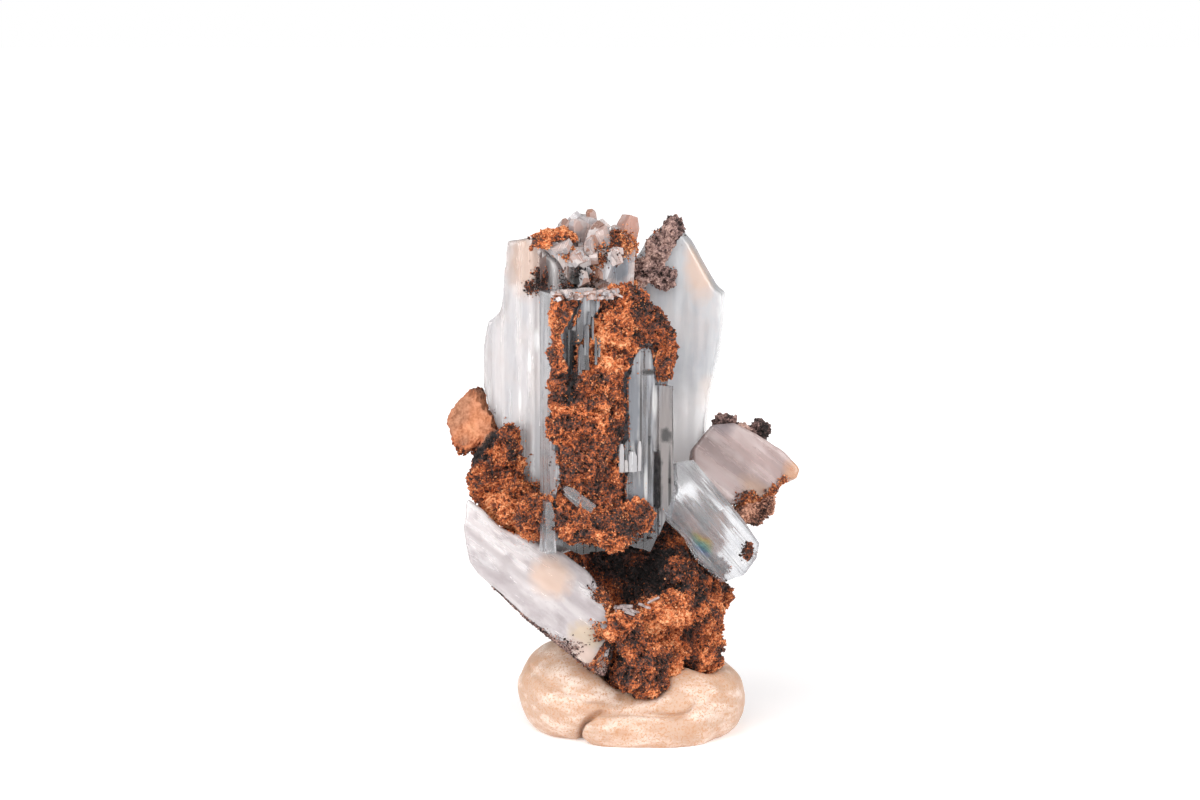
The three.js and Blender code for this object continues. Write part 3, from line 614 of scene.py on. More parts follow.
GOETHITE_STOPS = {
    "rust": [
        (0.0, (0.022, 0.020, 0.020)), (0.20, (0.062, 0.044, 0.042)), (0.40, (0.165, 0.060, 0.038)),
        (0.58, (0.415, 0.107, 0.040)), (0.78, (0.715, 0.215, 0.072)), (1.0, (0.890, 0.440, 0.220)),
    ],
    "sienna": [
        (0.0, (0.018, 0.015, 0.015)), (0.30, (0.070, 0.042, 0.036)), (0.58, (0.300, 0.130, 0.088)),
        (1.0, (0.780, 0.430, 0.300)),
    ],
    "umber": [
        (0.0, (0.015, 0.012, 0.012)), (0.30, (0.060, 0.038, 0.035)), (0.58, (0.240, 0.145, 0.132)),
        (1.0, (0.580, 0.390, 0.330)),
    ],
}

FLAKE_COLORS = ((0.29, 0.115, 0.055), (0.60, 0.285, 0.165))


def goethite_material(kind):
    material, tree, surface = new_material("goethite_" + kind)
    place = millimetres(tree)
    speckle = noise_value(tree, place, 6.0, 3.0, 0.7)
    waves = noise_value(tree, place, 2.6, 2.0, 0.6)
    # Painted light and shade: thin walls lighter and the pores between them darker, on top of the grain
    # speckle.
    web = math_value(tree, "ABSOLUTE", math_value(tree, "SUBTRACT", waves, 0.5))
    walls = spread(tree, web, 0.0, 0.12, 0.16, -0.22)
    grit = math_value(tree, "ADD", spread(tree, speckle, 0.3, 0.7, -0.22, 0.22), walls)
    speckle_and_pore_shade = math_value(tree, "MULTIPLY", grit, attribute(tree, "grit", "Fac"))
    total = math_value(tree, "ADD", attribute(tree, "tone", "Fac"), speckle_and_pore_shade)
    calm = spread(tree, attribute(tree, "grit", "Fac"), 0.2, 0.8, 0.75, 0.0)
    smooth = mix_colors(tree, spread(tree, waves, 0.35, 0.65, 0.0, 1.0), *FLAKE_COLORS)
    set_inputs(tree, surface, {
        "Base Color": mix_colors(tree, calm, ramp(tree, total, GOETHITE_STOPS[kind]), smooth),
        "Roughness": spread(tree, speckle, 0.3, 0.7, 0.95, 0.65),
        "Specular IOR Level": 0.25,
    })
    bump(tree, surface, total, 0.7, 0.14)
    return material


# Colours of the putty's dark and light streaks, its warmer patches and its specks.
PUTTY_COLORS = ((0.56, 0.38, 0.28), (0.74, 0.60, 0.51), (0.54, 0.30, 0.18), (0.52, 0.25, 0.11))


def putty_material():
    material, tree, surface = new_material("putty")
    place = millimetres(tree)
    specks = noise_value(tree, place, 6.0, 4.0, 0.75)
    streaks = noise_value(tree, stretched(tree, place, (0.35, 0.5, 1.1)), 1.0, 4.0, 0.5)
    warmth = noise_value(tree, place, 0.5, 3.0, 0.6)
    dark, light, warm, speck = PUTTY_COLORS
    body = mix_colors(tree, spread(tree, streaks, 0.46, 0.62, 0.0, 1.0), dark, light)
    warmed = mix_colors(tree, spread(tree, warmth, 0.48, 0.62, 0.0, 0.45), body, warm)
    set_inputs(tree, surface, {
        "Base Color": mix_colors(tree, spread(tree, specks, 0.51, 0.59, 0.0, 0.8), warmed, speck),
        "Roughness": spread(tree, specks, 0.3, 0.7, 0.62, 0.42),
        "Subsurface Weight": 0.2,
        "Subsurface Radius": (1.0, 0.55, 0.35),
        "Subsurface Scale": 0.6 * MM,
    })
    bump(tree, surface, specks, 0.25, 0.08)
    return material


def floor_material():
    material, tree, surface = new_material("floor")
    grain = noise_value(tree, millimetres(tree), 0.02, 2.0, 0.5)
    away = vector_math(tree, "LENGTH", millimetres(tree), (0, 0, 0), "Value")
    set_inputs(tree, surface, {
        "Base Color": mix_colors(tree, grain, (0.90, 0.87, 0.87), (0.92, 0.90, 0.90)),
        "Roughness": 0.9,
        "Specular IOR Level": 0.1,
        "Emission Color": WHITE,
        "Emission Strength": spread(tree, away, *FLOOR_GLOW_REACH, FLOOR_GLOW_NEAR, FLOOR_GLOW_FAR),
    })
    return material


# Mesh helpers

def make_piece(name, mesh, material, nodes=()):
    mesh.materials.clear()
    mesh.materials.append(material)
    mesh.transform(Matrix.Scale(MM, 4))
    piece = bpy.data.objects.new(name, mesh)
    bpy.context.scene.collection.objects.link(piece)
    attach(piece, BODY)
    if nodes:
        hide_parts(*nodes)
    return piece


def make_crust(name, mesh, kind, nodes=()):
    make_piece(name, mesh, goethite_looks[kind], nodes)


def node_shape(node):
    """A welded copy of a CAD node, in millimetres, with its flat faces whole."""
    shape = bmesh.new()
    shape.from_mesh(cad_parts[node].data)
    shape.transform(Matrix.Scale(1 / MM, 4))
    bmesh.ops.remove_doubles(shape, verts=shape.verts, dist=WELD)
    bmesh.ops.dissolve_limit(
        shape, angle_limit=math.radians(FLAT_ANGLE), verts=shape.verts, edges=shape.edges,
        use_dissolve_boundaries=False,
    )
    return shape


def mesh_of(shape, name):
    mesh = bpy.data.meshes.new(name)
    shape.to_mesh(mesh)
    shape.free()
    return mesh


def voxel_mesh(mesh, voxel):
    """The same form as one even skin of small quads."""
    carrier = bpy.data.objects.new("carrier", mesh)
    bpy.context.scene.collection.objects.link(carrier)
    remesh = carrier.modifiers.new("voxels", "REMESH")
    remesh.mode = "VOXEL"
    remesh.voxel_size = voxel
    graph = bpy.context.evaluated_depsgraph_get()
    skin = bpy.data.meshes.new_from_object(carrier.evaluated_get(graph))
    bpy.data.objects.remove(carrier)
    return skin


def points_of(mesh):
    points = np.zeros(3 * len(mesh.vertices))
    mesh.vertices.foreach_get("co", points)
    return points.reshape(-1, 3)


def normals_of(mesh):
    normals = np.zeros(3 * len(mesh.vertices), np.float32)
    mesh.vertex_normals.foreach_get("vector", normals)
    return normals.reshape(-1, 3).astype(float)


def set_points(mesh, points):
    mesh.vertices.foreach_set("co", points.astype(np.float32).ravel())
    mesh.update()


def relax(mesh, rounds):
    """Moves each point to the mean of its neighbours."""
    edges = np.zeros(2 * len(mesh.edges), np.int64)
    mesh.edges.foreach_get("vertices", edges)
    ends = np.concatenate([edges.reshape(-1, 2), edges.reshape(-1, 2)[:, ::-1]])
    points = points_of(mesh)
    counts = np.bincount(ends[:, 0], minlength=len(points)).reshape(-1, 1)
    for _ in range(rounds):
        sums = [np.bincount(ends[:, 0], points[ends[:, 1], axis], len(points)) for axis in range(3)]
        points = np.stack(sums, 1) / counts
    set_points(mesh, points)


def mesh_from_arrays(name, points, faces):
    mesh = bpy.data.meshes.new(name)
    mesh.vertices.add(len(points))
    mesh.vertices.foreach_set("co", points.astype(np.float32).ravel())
    mesh.loops.add(faces.size)
    mesh.loops.foreach_set("vertex_index", faces.astype(np.int32).ravel())
    mesh.polygons.add(len(faces))
    mesh.polygons.foreach_set("loop_start", np.arange(0, faces.size, faces.shape[1], dtype=np.int32))
    mesh.update(calc_edges=True)
    mesh.validate()
    return mesh


def add_numbers(mesh, name, kind, field, values):
    layer = mesh.attributes.new(name, kind, "POINT")
    layer.data.foreach_set(field, np.asarray(values, np.float32).ravel())


def turn(degrees, axis):
    return Matrix.Rotation(math.radians(degrees), 4, axis)


def search_tree(meshes):
    """A search tree over several meshes, for finding the nearest place on them."""
    points = []
    faces = []
    for mesh in meshes:
        first = len(points)
        points.extend(points_of(mesh).tolist())
        faces.extend([first + corner for corner in polygon.vertices] for polygon in mesh.polygons)
    return BVHTree.FromPolygons(points, faces)


def random_places(mesh, count, rng):
    """Points spread evenly over a mesh, with the normals there."""
    mesh.calc_loop_triangles()
    corners = np.zeros(3 * len(mesh.loop_triangles), np.int32)
    mesh.loop_triangles.foreach_get("vertices", corners)
    corners = corners.reshape(-1, 3)
    a, b, c = (points_of(mesh)[corners[:, i]] for i in range(3))
    crosses = np.cross(b - a, c - a)
    areas = np.linalg.norm(crosses, axis=1)
    chosen = rng.choice(len(areas), count, p=areas / areas.sum())
    first, second = np.sqrt(rng.random(count)), rng.random(count)
    weights = np.stack([1 - first, first * (1 - second), first * second], 1)
    places = sum(weights[:, i, None] * corner[chosen] for i, corner in enumerate((a, b, c)))
    return places, crosses[chosen] / areas[chosen, None]


def random_turns(count, rng):
    """Rotation matrices spread evenly over all directions."""
    turns, _ = np.linalg.qr(rng.normal(size=(count, 3, 3)))
    return turns * np.sign(np.linalg.det(turns))[:, None, None]


# Barite

def blade_frame(blade):
    turned = turn(blade["yaw"], "Z") @ turn(blade.get("lean", 0), "X") @ turn(blade.get("roll", 0), "Y")
    return Matrix.Translation(blade["at"]) @ turned @ turn(blade.get("rib_turn", 0), "Y")


def slice_shape(shape, axis, spacing, rng):
    """Cuts a shape across by planes of uneven spacing, so that striations can follow the cuts."""
    places = [vertex.co[axis] for vertex in shape.verts]
    direction = [0.0, 0.0, 0.0]
    direction[axis] = 1.0
    place = min(places) + spacing
    while place < max(places) - spacing / 2:
        point = [place * share for share in direction]
        geometry = [*shape.verts, *shape.edges, *shape.faces]
        bmesh.ops.bisect_plane(shape, geom=geometry, dist=1e-4, plane_co=point, plane_no=direction)
        place += spacing * rng.uniform(0.45, 1.7)


def striation(across, along, seed):
    """Height of the striations, about -1 to 1: fine ridges that fade in and out along the blade."""
    fine = noise.noise(Vector((across * 8.3, along * 0.10, seed)))
    middle = noise.noise(Vector((across * 2.6, along * 0.07, seed + 7.7)))
    patch = noise.noise(Vector((across * 0.7, along * 0.22, seed + 3.1)))
    step = -1.3 if patch > 0.2 else 0.0
    strength = 0.25 + 1.5 * max(0.0, 0.4 + noise.noise(Vector((across * 0.9, along * 0.3, seed + 5.3))))
    return strength * (0.9 * fine + 0.8 * middle) + step


def striate(shape, blade):
    for vertex in shape.verts:
        across, depth, along = vertex.co
        height = blade["relief"] * striation(across, along, blade["seed"])
        if abs(vertex.normal.z) > 0.5:
            rough = noise.noise(Vector((across * 3.0, depth * 1.5, blade["seed"])))
            vertex.co.z += 1.6 * blade["relief"] * rough
        vertex.co.y += math.copysign(height, depth)


def crisp_blade(shape, node, blade):
    """A blade with sharp striations, cut across by planes."""
    rng = np.random.default_rng(blade["seed"])
    slice_shape(shape, 0, blade["spacing"], rng)
    slice_shape(shape, 2, blade["rows"], rng)
    shape.normal_update()
    striate(shape, blade)
    return mesh_of(shape, node + "_dressed")


def soft_blade(shape, node, blade):
    """A blade with worn edges and a gently waved surface."""
    mesh = voxel_mesh(mesh_of(shape, node), blade["voxel"])
    relax(mesh, SOFT_ROUNDS)
    points, normals = points_of(mesh), normals_of(mesh)
    waves = []
    for across, depth, along in points:
        streak = noise.noise(Vector((across * 1.6, depth * 0.5, along * 0.16 + blade["seed"])))
        dimple = noise.noise(Vector((across * 1.1, depth * 1.1, along * 0.9 - blade["seed"])))
        waves.append(blade["relief"] * (1.2 * streak + 0.8 * dimple))
    set_points(mesh, points + normals * np.array(waves)[:, None])
    mesh.shade_smooth()
    return mesh


def dress_blade(node, blade):
    local = blade_frame(blade)
    shape = node_shape(node)
    shape.transform(local.inverted())
    dressing = soft_blade if "voxel" in blade else crisp_blade
    mesh = dressing(shape, node, blade)
    add_numbers(mesh, "strand", "FLOAT_VECTOR", "vector", points_of(mesh))
    mesh.transform(local)
    return mesh


# Outline of a six-sided tablet with a chisel-shaped end, as shares of its half-width and half-height.
TABLET_OUTLINE = [(-1.0, -1.0), (1.0, -1.0), (1.0, 0.55), (0.4, 1.0), (-0.6, 1.0), (-1.0, 0.55)]


def tablet_points(width, height, thickness):
    outline = [(across * width / 2, up * height / 2) for across, up in TABLET_OUTLINE]
    return [(across, side * thickness / 2, up) for side in (-1, 1) for across, up in outline]


def tablet_faces(first):
    corners = len(TABLET_OUTLINE)
    front = [first + i for i in range(corners)]
    back = [first + 2 * corners - 1 - i for i in range(corners)]
    sides = []
    for i in range(corners):
        after = (i + 1) % corners
        sides.append([first + after, first + i, first + i + corners, first + after + corners])
    return [front, back, *sides]


def joined_tablets(name, tablets, rng):
    """Many tablets in one mesh, each given by its frame and its width, height and thickness."""
    points = []
    strands = []
    faces = []
    for standing, size in tablets:
        body = [Vector(point) for point in tablet_points(*size)]
        shift = Vector(rng.uniform(-40, 40, 3))
        faces.extend(tablet_faces(len(points)))
        strands.extend(point + shift for point in body)
        points.extend(standing @ point for point in body)
    mesh = bpy.data.meshes.new(name)
    mesh.from_pydata(points, [], faces)
    add_numbers(mesh, "strand", "FLOAT_VECTOR", "vector", np.array(strands))
    return mesh


def sprigs(crown):
    """Small tablets standing on the crown's upper and front faces."""
    rng = np.random.default_rng(83)
    places, normals = random_places(crown, 40 * SPRIGS, rng)
    open_faces = (normals[:, 2] > 0.1) | (normals[:, 1] < -0.6)
    inside = (places[:, 0] > SPRIG_REACH[0]) & (places[:, 0] < SPRIG_REACH[1])
    upper = places[open_faces & inside & (places[:, 2] > SPRIG_FLOOR)][:SPRIGS]
    tablets = []
    for place in upper:
        size = [rng.uniform(*sizes) for sizes in SPRIG_SIZES]
        tilt = turn(rng.normal(0.0, SPRIG_TILT), "X") @ turn(rng.normal(0.0, SPRIG_TILT), "Y")
        tablets.append((Matrix.Translation(place) @ tilt @ turn(rng.uniform(0, 180), "Z"), size))
    return joined_tablets("barite_sprigs", tablets, rng)


def strewn(name, column, count, area, ranges, tilt, seed):
    """Tablets strewn in a box of the column's own frame, standing nearly upright."""
    rng = np.random.default_rng(seed)
    local = blade_frame(column)
    tablets = []
    for _ in range(count):
        place = [rng.uniform(*reach) for reach in area]
        size = [rng.uniform(*sizes) for sizes in ranges]
        turned = turn(rng.normal(0.0, 3 * tilt), "Z") @ turn(rng.normal(0.0, tilt), "Y")
        tablets.append((local @ Matrix.Translation(place) @ turned, size))
    return joined_tablets(name, tablets, rng)


def hand_placed(name, column, places, seed):
    """Tablets at chosen places in the column's own frame."""
    local = blade_frame(column)
    tablets = [(local @ Matrix.Translation(place) @ turn(roll, "Y"), size) for place, size, roll in places]
    return joined_tablets(name, tablets, np.random.default_rng(seed))


def ledge(skin):
    """Thin tablets lying on the lower lump's upper edge."""
    rng = np.random.default_rng(103)
    places, normals = random_places(skin, 4000 * LEDGE, rng)
    offsets = (places - np.array(LEDGE_CENTRE)) / np.array(LEDGE_HALVES)
    inside = (np.linalg.norm(offsets, axis=1) < 1.0) & (normals[:, 1] < 0.2)
    tablets = []
    for place in places[inside][:LEDGE]:
        size = [rng.uniform(*sizes) for sizes in LEDGE_SIZES]
        tilt = turn(rng.normal(0.0, LEDGE_SLOPE), "X") @ turn(rng.normal(LEDGE_SLOPE, LEDGE_SLOPE), "Y")
        tablets.append((Matrix.Translation(place) @ tilt, size))
    return joined_tablets("barite_ledge", tablets, rng)


# Goethite

def falloff(distance, radius, power=2):
    """1 at no distance, falling to 0 past the radius."""
    return np.exp(-((distance / radius) ** power))


def distances(points, centre):
    return np.linalg.norm(points - np.array(centre), axis=1)


def zone_tone(points):
    """Change of tone in the given zones (some of them painted shade in hollows), painted shade along the
    slits, and in broad chance patches.
    """
    tone = np.array([PATCH_TONE * noise.noise(Vector(point) * PATCH_SCALE) for point in points])
    for centre, radius, change in TONE_ZONES:
        tone += change * falloff(distances(points, centre), radius)
    for start, end, radius, change in SHADED_SLITS:
        run = np.array(end) - np.array(start)
        share = np.clip((points - np.array(start)) @ run / (run @ run), 0.0, 1.0)
        distance = np.linalg.norm(points - np.array(start) - share[:, None] * run, axis=1)
        tone += change * falloff(distance, radius)
    return tone


def liveliness(points):
    """1 where the goethite is rough, near 0 on the smooth flake."""
    return 1.0 - 0.85 * falloff(distances(points, CALM_CENTRE), CALM_RADIUS, 6)


def wall_height(place):
    """Height of a net of thin walls, about 0 in its pores to 1 on the walls."""
    return 1.0 - 2.0 * abs(noise.noise(place))


def clumps(points):
    """Height of crumbly clumps, from 0 in the gaps between them to 1 on their tops."""
    heights = []
    for point in points:
        place = Vector(point)
        broad = 0.45 * noise.noise(place * CLUMP_SCALE) + 0.3 * noise.noise(place * SWELL_SCALE)
        relief = 0.35 * wall_height(place * WALL_SCALE) + 0.3 * wall_height(place * CRUMB_SCALE)
        heights.append(0.12 + broad + relief)
    return np.clip(np.array(heights), 0.0, 1.0)


def dent_depth(points):
    depth = np.zeros(len(points))
    for centre, radius, deepest in DENTS:
        depth += deepest * falloff(distances(points, centre), radius)
    return depth


def pressed(points):
    """Points of the crust in front of the column, moved back toward it by up to CRUST_PRESS."""
    local = blade_frame(BLADES["barite_center_column"])
    moved = []
    for point in points:
        across, depth, up = local.inverted() @ Vector(point)
        beside = np.clip(min(across - CRUST_SIDES[0], CRUST_SIDES[1] - across), 0.0, 1.0)
        inside = beside * np.clip(min(up - CRUST_ENDS[0], CRUST_ENDS[1] - up), 0.0, 1.0)
        before = np.clip(CRUST_FRONT - depth, 0.0, CRUST_FADE) / CRUST_FADE
        moved.append(local @ Vector((across, depth + CRUST_PRESS * inside * before, up)))
    return np.array(moved)


def goethite_skin(node):
    mesh = voxel_mesh(mesh_of(node_shape(node), node), SKIN_VOXEL)
    relax(mesh, SKIN_ROUNDS)
    points = points_of(mesh)
    lively = liveliness(points)
    heights = clumps(points)
    strength = lively if node == "goethite_matrix" else SMALL_CRUST_RELIEF
    lift = strength * (SKIN_DEEPEST + (SKIN_HIGHEST - SKIN_DEEPEST) * heights) - dent_depth(points)
    moved = points + normals_of(mesh) * lift[:, None] + np.array(NUDGES.get(node, (0.0, 0.0, 0.0)))
    set_points(mesh, pressed(moved))
    # Painted light and shade: the tone is lighter on the clumps' tops and darker in the gaps between them.
    tone = MIDDLE_TONE + lively * 0.6 * (heights - 0.5) + zone_tone(points)
    add_numbers(mesh, "tone", "FLOAT", "value", np.clip(tone, 0.0, 1.0))
    add_numbers(mesh, "grit", "FLOAT", "value", lively)
    return mesh


GRAIN_POINTS = np.array([(1, 0, 0), (-0.5, 0.87, 0), (-0.5, -0.87, 0), (0, 0, 1), (0, 0, -1)])
GRAIN_FACES = np.array([(0, 1, 3), (1, 2, 3), (2, 0, 3), (1, 0, 4), (2, 1, 4), (0, 2, 4)])


def grain_mesh(name, places, normals, shift, rng):
    """Small angular grains sitting half sunk at the given places, joined in one mesh."""
    count = len(places)
    low, high = GRAIN_RADIUS
    radii = low + (high - low) * rng.random(count) ** 3
    uneven = rng.uniform(0.6, 1.5, (count, len(GRAIN_POINTS), 1))
    bodies = GRAIN_POINTS[None] * uneven * radii[:, None, None]
    bodies[:, :, 2] *= rng.uniform(*GRAIN_LENGTH, (count, 1))
    turned = np.einsum("gij,gpj->gpi", random_turns(count, rng), bodies)
    points = turned + (places + normals * radii[:, None] * 0.5)[:, None]
    faces = GRAIN_FACES[None] + (len(GRAIN_POINTS) * np.arange(count))[:, None, None]
    mesh = mesh_from_arrays(name, points.reshape(-1, 3), faces.reshape(-1, 3))
    tone = MIDDLE_TONE + shift + rng.normal(0.0, 0.2, count) + zone_tone(places)
    add_numbers(mesh, "tone", "FLOAT", "value", np.repeat(np.clip(tone, 0.0, 1.0), len(GRAIN_POINTS)))
    add_numbers(mesh, "grit", "FLOAT", "value", np.ones(len(mesh.vertices)))
    return mesh


def skin_grains(name, skin, count, seed):
    """Grains crowded on the clumps, fewer in the gaps and at the back, and none on the flake; their tone is
    painted lighter on higher clumps.
    """
    rng = np.random.default_rng(seed)
    places, normals = random_places(skin, 5 * count, rng)
    heights = clumps(places)
    share = 1.2 * heights * np.where(normals[:, 1] < 0.3, 1.0, BACK_SHARE)
    kept = np.flatnonzero((rng.random(len(places)) < share) & (liveliness(places) > 0.6))[:count]
    return grain_mesh(name, places[kept], normals[kept], 0.4 * (heights[kept] - 0.3), rng)


def settle(candidates, searches):
    """Moves scattered points onto the nearest barite, and drops those too far off or under the crust."""
    barite_search, crust_search = searches
    places = []
    normals = []
    for candidate in candidates:
        spot, normal, _, distance = barite_search.find_nearest(candidate)
        crust, outward, _, _ = crust_search.find_nearest(spot)
        if distance < EDGE_REACH and (spot - crust).dot(outward) > 0:
            places.append(spot)
            normals.append(normal)
    return np.array(places), np.array(normals)


def edge_crumbs(skin, searches):
    rng = np.random.default_rng(101)
    places, _ = random_places(skin, EDGE_CRUMBS, rng)
    scattered = places + rng.normal(0.0, EDGE_SCATTER, places.shape)
    return grain_mesh("goethite_edge_crumbs", *settle(scattered, searches), 0.05, rng)


def film_crumbs(column, searches):
    """A ragged film of crumbs on the zones of the column's front, joined in one mesh, painted lighter where
    the clumps are high.
    """
    rng = np.random.default_rng(113)
    areas = np.array([wide * tall for _, (wide, tall) in FILM_ZONES])
    zones = rng.choice(len(FILM_ZONES), FILM_CRUMBS, p=areas / areas.sum())
    reach = np.sqrt(rng.random(FILM_CRUMBS)) * rng.uniform(0.7, 1.15, FILM_CRUMBS)
    angle = rng.uniform(0, 2 * math.pi, FILM_CRUMBS)
    centres, halves = np.array([zone[0] for zone in FILM_ZONES]), np.array([zone[1] for zone in FILM_ZONES])
    flat = centres[zones] + halves[zones] * np.stack([np.cos(angle), np.sin(angle)], 1) * reach[:, None]
    local = blade_frame(column)
    scattered = [local @ Vector((across, FILM_FRONT, up)) for across, up in flat]
    places, normals = settle(scattered, searches)
    heights = clumps(places)
    kept = np.flatnonzero(rng.random(len(places)) < 1.6 * heights)
    lift = FILM_THICKNESS * heights[kept] * rng.random(len(kept))
    lifted = places[kept] + normals[kept] * lift[:, None]
    return grain_mesh("goethite_film", lifted, normals[kept], 0.4 * (heights[kept] - 0.35), rng)


def rim_crumbs(searches):
    rng = np.random.default_rng(107)
    line = np.array(RIM_LINE)
    steps = np.arange(len(line))
    along = (len(line) - 1) * rng.random(RIM_CRUMBS) ** 0.45
    places = np.stack([np.interp(along, steps, line[:, axis]) for axis in range(3)], 1)
    stray = np.interp(along, steps, RIM_STRAY)
    scattered = places + rng.normal(size=places.shape) * stray[:, None]
    return grain_mesh("goethite_rim_crumbs", *settle(scattered, searches), 0.02, rng)


def patch_crumbs(searches):
    """Small patches of crust on the barite, joined in one mesh."""
    rng = np.random.default_rng(109)
    places = []
    normals = []
    shifts = []
    for centre, reach, count, change in PATCHES:
        scattered = np.array(centre) + rng.normal(0.0, reach, (count, 3))
        spots, outward = settle(scattered, searches)
        places.extend(spots + outward * rng.uniform(0.0, PATCH_THICKNESS * reach, (len(spots), 1)))
        normals.extend(outward)
        shifts.extend([change] * len(spots))
    return grain_mesh("goethite_patches", np.array(places), np.array(normals), np.array(shifts), rng)


# Putty

def crease_depth(crease, x, z):
    """How deep a crease presses in at a place on the putty's front."""
    depth = 0.0
    for (x0, z0, deep0), (x1, z1, deep1) in zip(crease, crease[1:]):
        run = (x1 - x0) ** 2 + (z1 - z0) ** 2
        share = min(1.0, max(0.0, ((x - x0) * (x1 - x0) + (z - z0) * (z1 - z0)) / run))
        away = math.hypot(x - x0 - share * (x1 - x0), z - z0 - share * (z1 - z0))
        deep = deep0 + share * (deep1 - deep0)
        depth = max(depth, deep * math.exp(-((away / CREASE_WIDTH) ** 2)))
    return depth


def roll_swell(x, z):
    """How far the roll below the crease stands out."""
    left, right = ROLL_CREASE[1][0], ROLL_CREASE[-3][0]
    top = np.interp(x, [place[0] for place in ROLL_CREASE[1:-2]], [place[1] for place in ROLL_CREASE[1:-2]])
    if x < left or z > top:
        return 0.0
    fade = min(1.0, max(0.0, right + 1.5 - x))
    return ROLL_SWELL * fade * (1.0 - math.exp(-(top - z) / 0.3)) * (1.0 - math.exp(-(x - left) / 0.3))


def putty_skin():
    mesh = voxel_mesh(mesh_of(node_shape("putty_base"), "putty_base"), PUTTY_VOXEL)
    flat = points_of(mesh)[:, 2].min()
    relax(mesh, PUTTY_ROUNDS)
    points, normals = points_of(mesh), normals_of(mesh)
    swell = np.array([0.2 + 0.2 * noise.fractal(Vector(point) * 0.3, 1.0, 2.0, 3) for point in points])
    front = normals[:, 1] < -0.1
    swell[front] += [roll_swell(x, z) for x, _, z in points[front]]
    for crease in (ROLL_CREASE, LOBE_CREASE):
        swell[front] -= [crease_depth(crease, x, z) for x, _, z in points[front]]
    moved = points + normals * swell[:, None]
    moved[:, 2] = np.maximum(moved[:, 2], flat)
    set_points(mesh, moved)
    mesh.shade_smooth()
    return mesh


# Studio

def make_floor():
    bpy.ops.mesh.primitive_grid_add(x_subdivisions=8, y_subdivisions=8, size=FLOOR_SIZE * MM)
    floor = bpy.context.object
    floor.name = "floor"
    floor.data.materials.append(floor_material())


def make_world():
    """A white surround that is brighter to the eye and through the crystals than as a light."""
    world = bpy.data.worlds.new("studio")
    bpy.context.scene.world = world
    world.use_nodes = True
    tree = world.node_tree
    lighting = tree.nodes["Background"]
    set_inputs(tree, lighting, {"Color": WHITE, "Strength": SURROUND_LIGHT})
    seen = add_node(tree, "ShaderNodeBackground", {"Color": WHITE, "Strength": SURROUND_SEEN})
    path = tree.nodes.new("ShaderNodeLightPath")
    direct = math_value(tree, "MAXIMUM", path.outputs["Is Camera Ray"], path.outputs["Is Transmission Ray"])
    both = add_node(
        tree, "ShaderNodeMixShader",
        {0: direct, 1: lighting.outputs["Background"], 2: seen.outputs["Background"]},
    )
    tree.links.new(both.outputs["Shader"], tree.nodes["World Output"].inputs["Surface"])


def make_light(name, place, power, size):
    lamp = bpy.data.lights.new(name, "AREA")
    lamp.energy = power
    lamp.size = size * MM
    light = bpy.data.objects.new(name, lamp)
    light.location = Vector(place) * MM
    aim = Vector(CAMERA_AIM) * MM - light.location
    light.rotation_euler = aim.to_track_quat("-Z", "Y").to_euler()
    bpy.context.scene.collection.objects.link(light)


def make_camera():
    lens = bpy.data.cameras.new("camera")
    lens.lens = CAMERA_LENS
    lens.sensor_width = SENSOR_WIDTH
    lens.clip_start = 0.001
    camera = bpy.data.objects.new("camera", lens)
    rise = math.radians(CAMERA_ELEVATION)
    back = Vector((0.0, -math.cos(rise), math.sin(rise)))
    camera.location = (Vector(CAMERA_AIM) + back * CAMERA_DISTANCE) * MM
    camera.rotation_euler = (-back).to_track_quat("-Z", "Y").to_euler()
    bpy.context.scene.collection.objects.link(camera)
    bpy.context.scene.camera = camera


# Building

make_camera()
make_world()
make_floor()
for name, (place, power, size) in LIGHTS.items():
    make_light(name, place, power, size)
bpy.context.scene.view_settings.view_transform = "Standard"

barite_looks = {node: barite_material(node, look) for node, look in BARITE_LOOKS.items()}
goethite_looks = {kind: goethite_material(kind) for kind in GOETHITE_STOPS}
blade_meshes = {node: dress_blade(node, blade) for node, blade in BLADES.items()}
skins = {node: goethite_skin(node) for node in GOETHITE_NODES}
searches = search_tree(blade_meshes.values()), search_tree(skins.values())
column = BLADES["barite_center_column"]

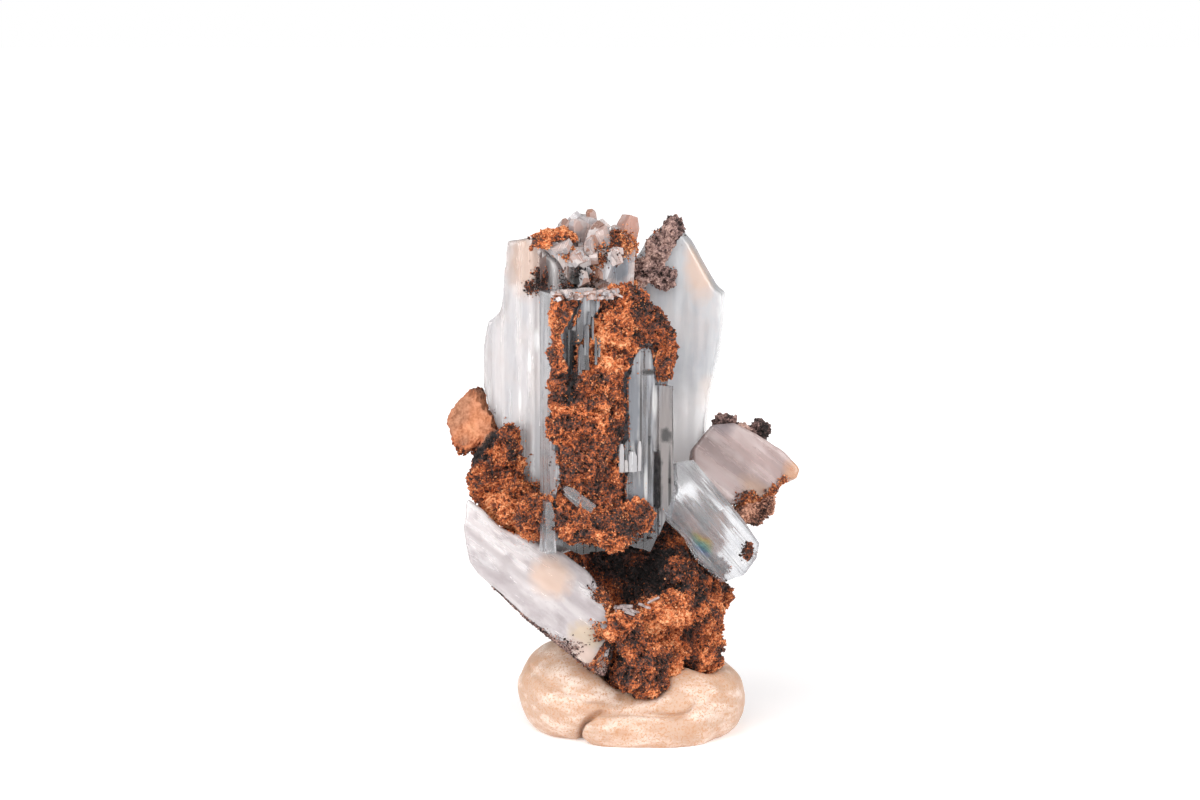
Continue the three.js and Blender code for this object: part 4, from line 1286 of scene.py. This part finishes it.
sprig_mesh = sprigs(blade_meshes["barite_top_crystals"])
sliver_mesh = strewn("barite_shade_painted_slivers", column, SLIVERS, SLIVER_AREA, SLIVER_SIZES, SLIVER_TILT, 89)
foot_mesh = hand_placed("barite_foot_slivers", column, FOOT_SLIVERS, 91)
glint_plate_mesh = hand_placed("barite_glint_plates", column, GLINT_PLATES, 93)
ridge_mesh = strewn("barite_ridge", column, RIDGE, RIDGE_AREA, RIDGE_SIZES, RIDGE_TILT, 97)
ledge_mesh = ledge(skins["goethite_matrix"])
make_piece("barite_sprigs", sprig_mesh, barite_looks["barite_top_crystals"])
make_piece("barite_shade_painted_slivers", sliver_mesh, barite_looks["barite_shade_painted_slivers"])
make_piece("barite_foot_slivers", foot_mesh, barite_looks["barite_clear_prism"])
# Painted highlights: milky white plates that stand in for glints on the column.
make_piece("barite_glint_plates", glint_plate_mesh, barite_looks["barite_left_blade"])
make_piece("barite_ridge", ridge_mesh, barite_looks["barite_top_crystals"])
make_piece("barite_ledge", ledge_mesh, barite_looks["barite_right_blade"])
for index in range(MATRIX_SETS):
    name = f"goethite_matrix_grains_{index + 1}"
    grains = skin_grains(name, skins["goethite_matrix"], MATRIX_GRAINS, 200 + index)
    make_crust(name, grains, "rust")
for seed, (node, count) in enumerate(SMALL_CRUST_GRAINS.items()):
    grains = skin_grains(node + "_grains", skins[node], count, seed)
    make_crust(node + "_grains", grains, GOETHITE_NODES[node])
edge_mesh = edge_crumbs(skins["goethite_matrix"], searches)
film_mesh = film_crumbs(column, searches)
rim_mesh = rim_crumbs(searches)
patch_mesh = patch_crumbs(searches)
make_crust("goethite_edge_crumbs", edge_mesh, "rust")
make_crust("goethite_film", film_mesh, "rust")
make_crust("goethite_rim_crumbs", rim_mesh, "umber")
make_crust("goethite_patches", patch_mesh, "rust")
for node, kind in GOETHITE_NODES.items():
    make_crust(node + "_skin", skins[node], kind, [node])
for node, blade in BLADES.items():
    make_piece(node + "_dressed", blade_meshes[node], barite_looks[node], [node])
make_piece("putty_dressed", putty_skin(), putty_material(), ["putty_base"])
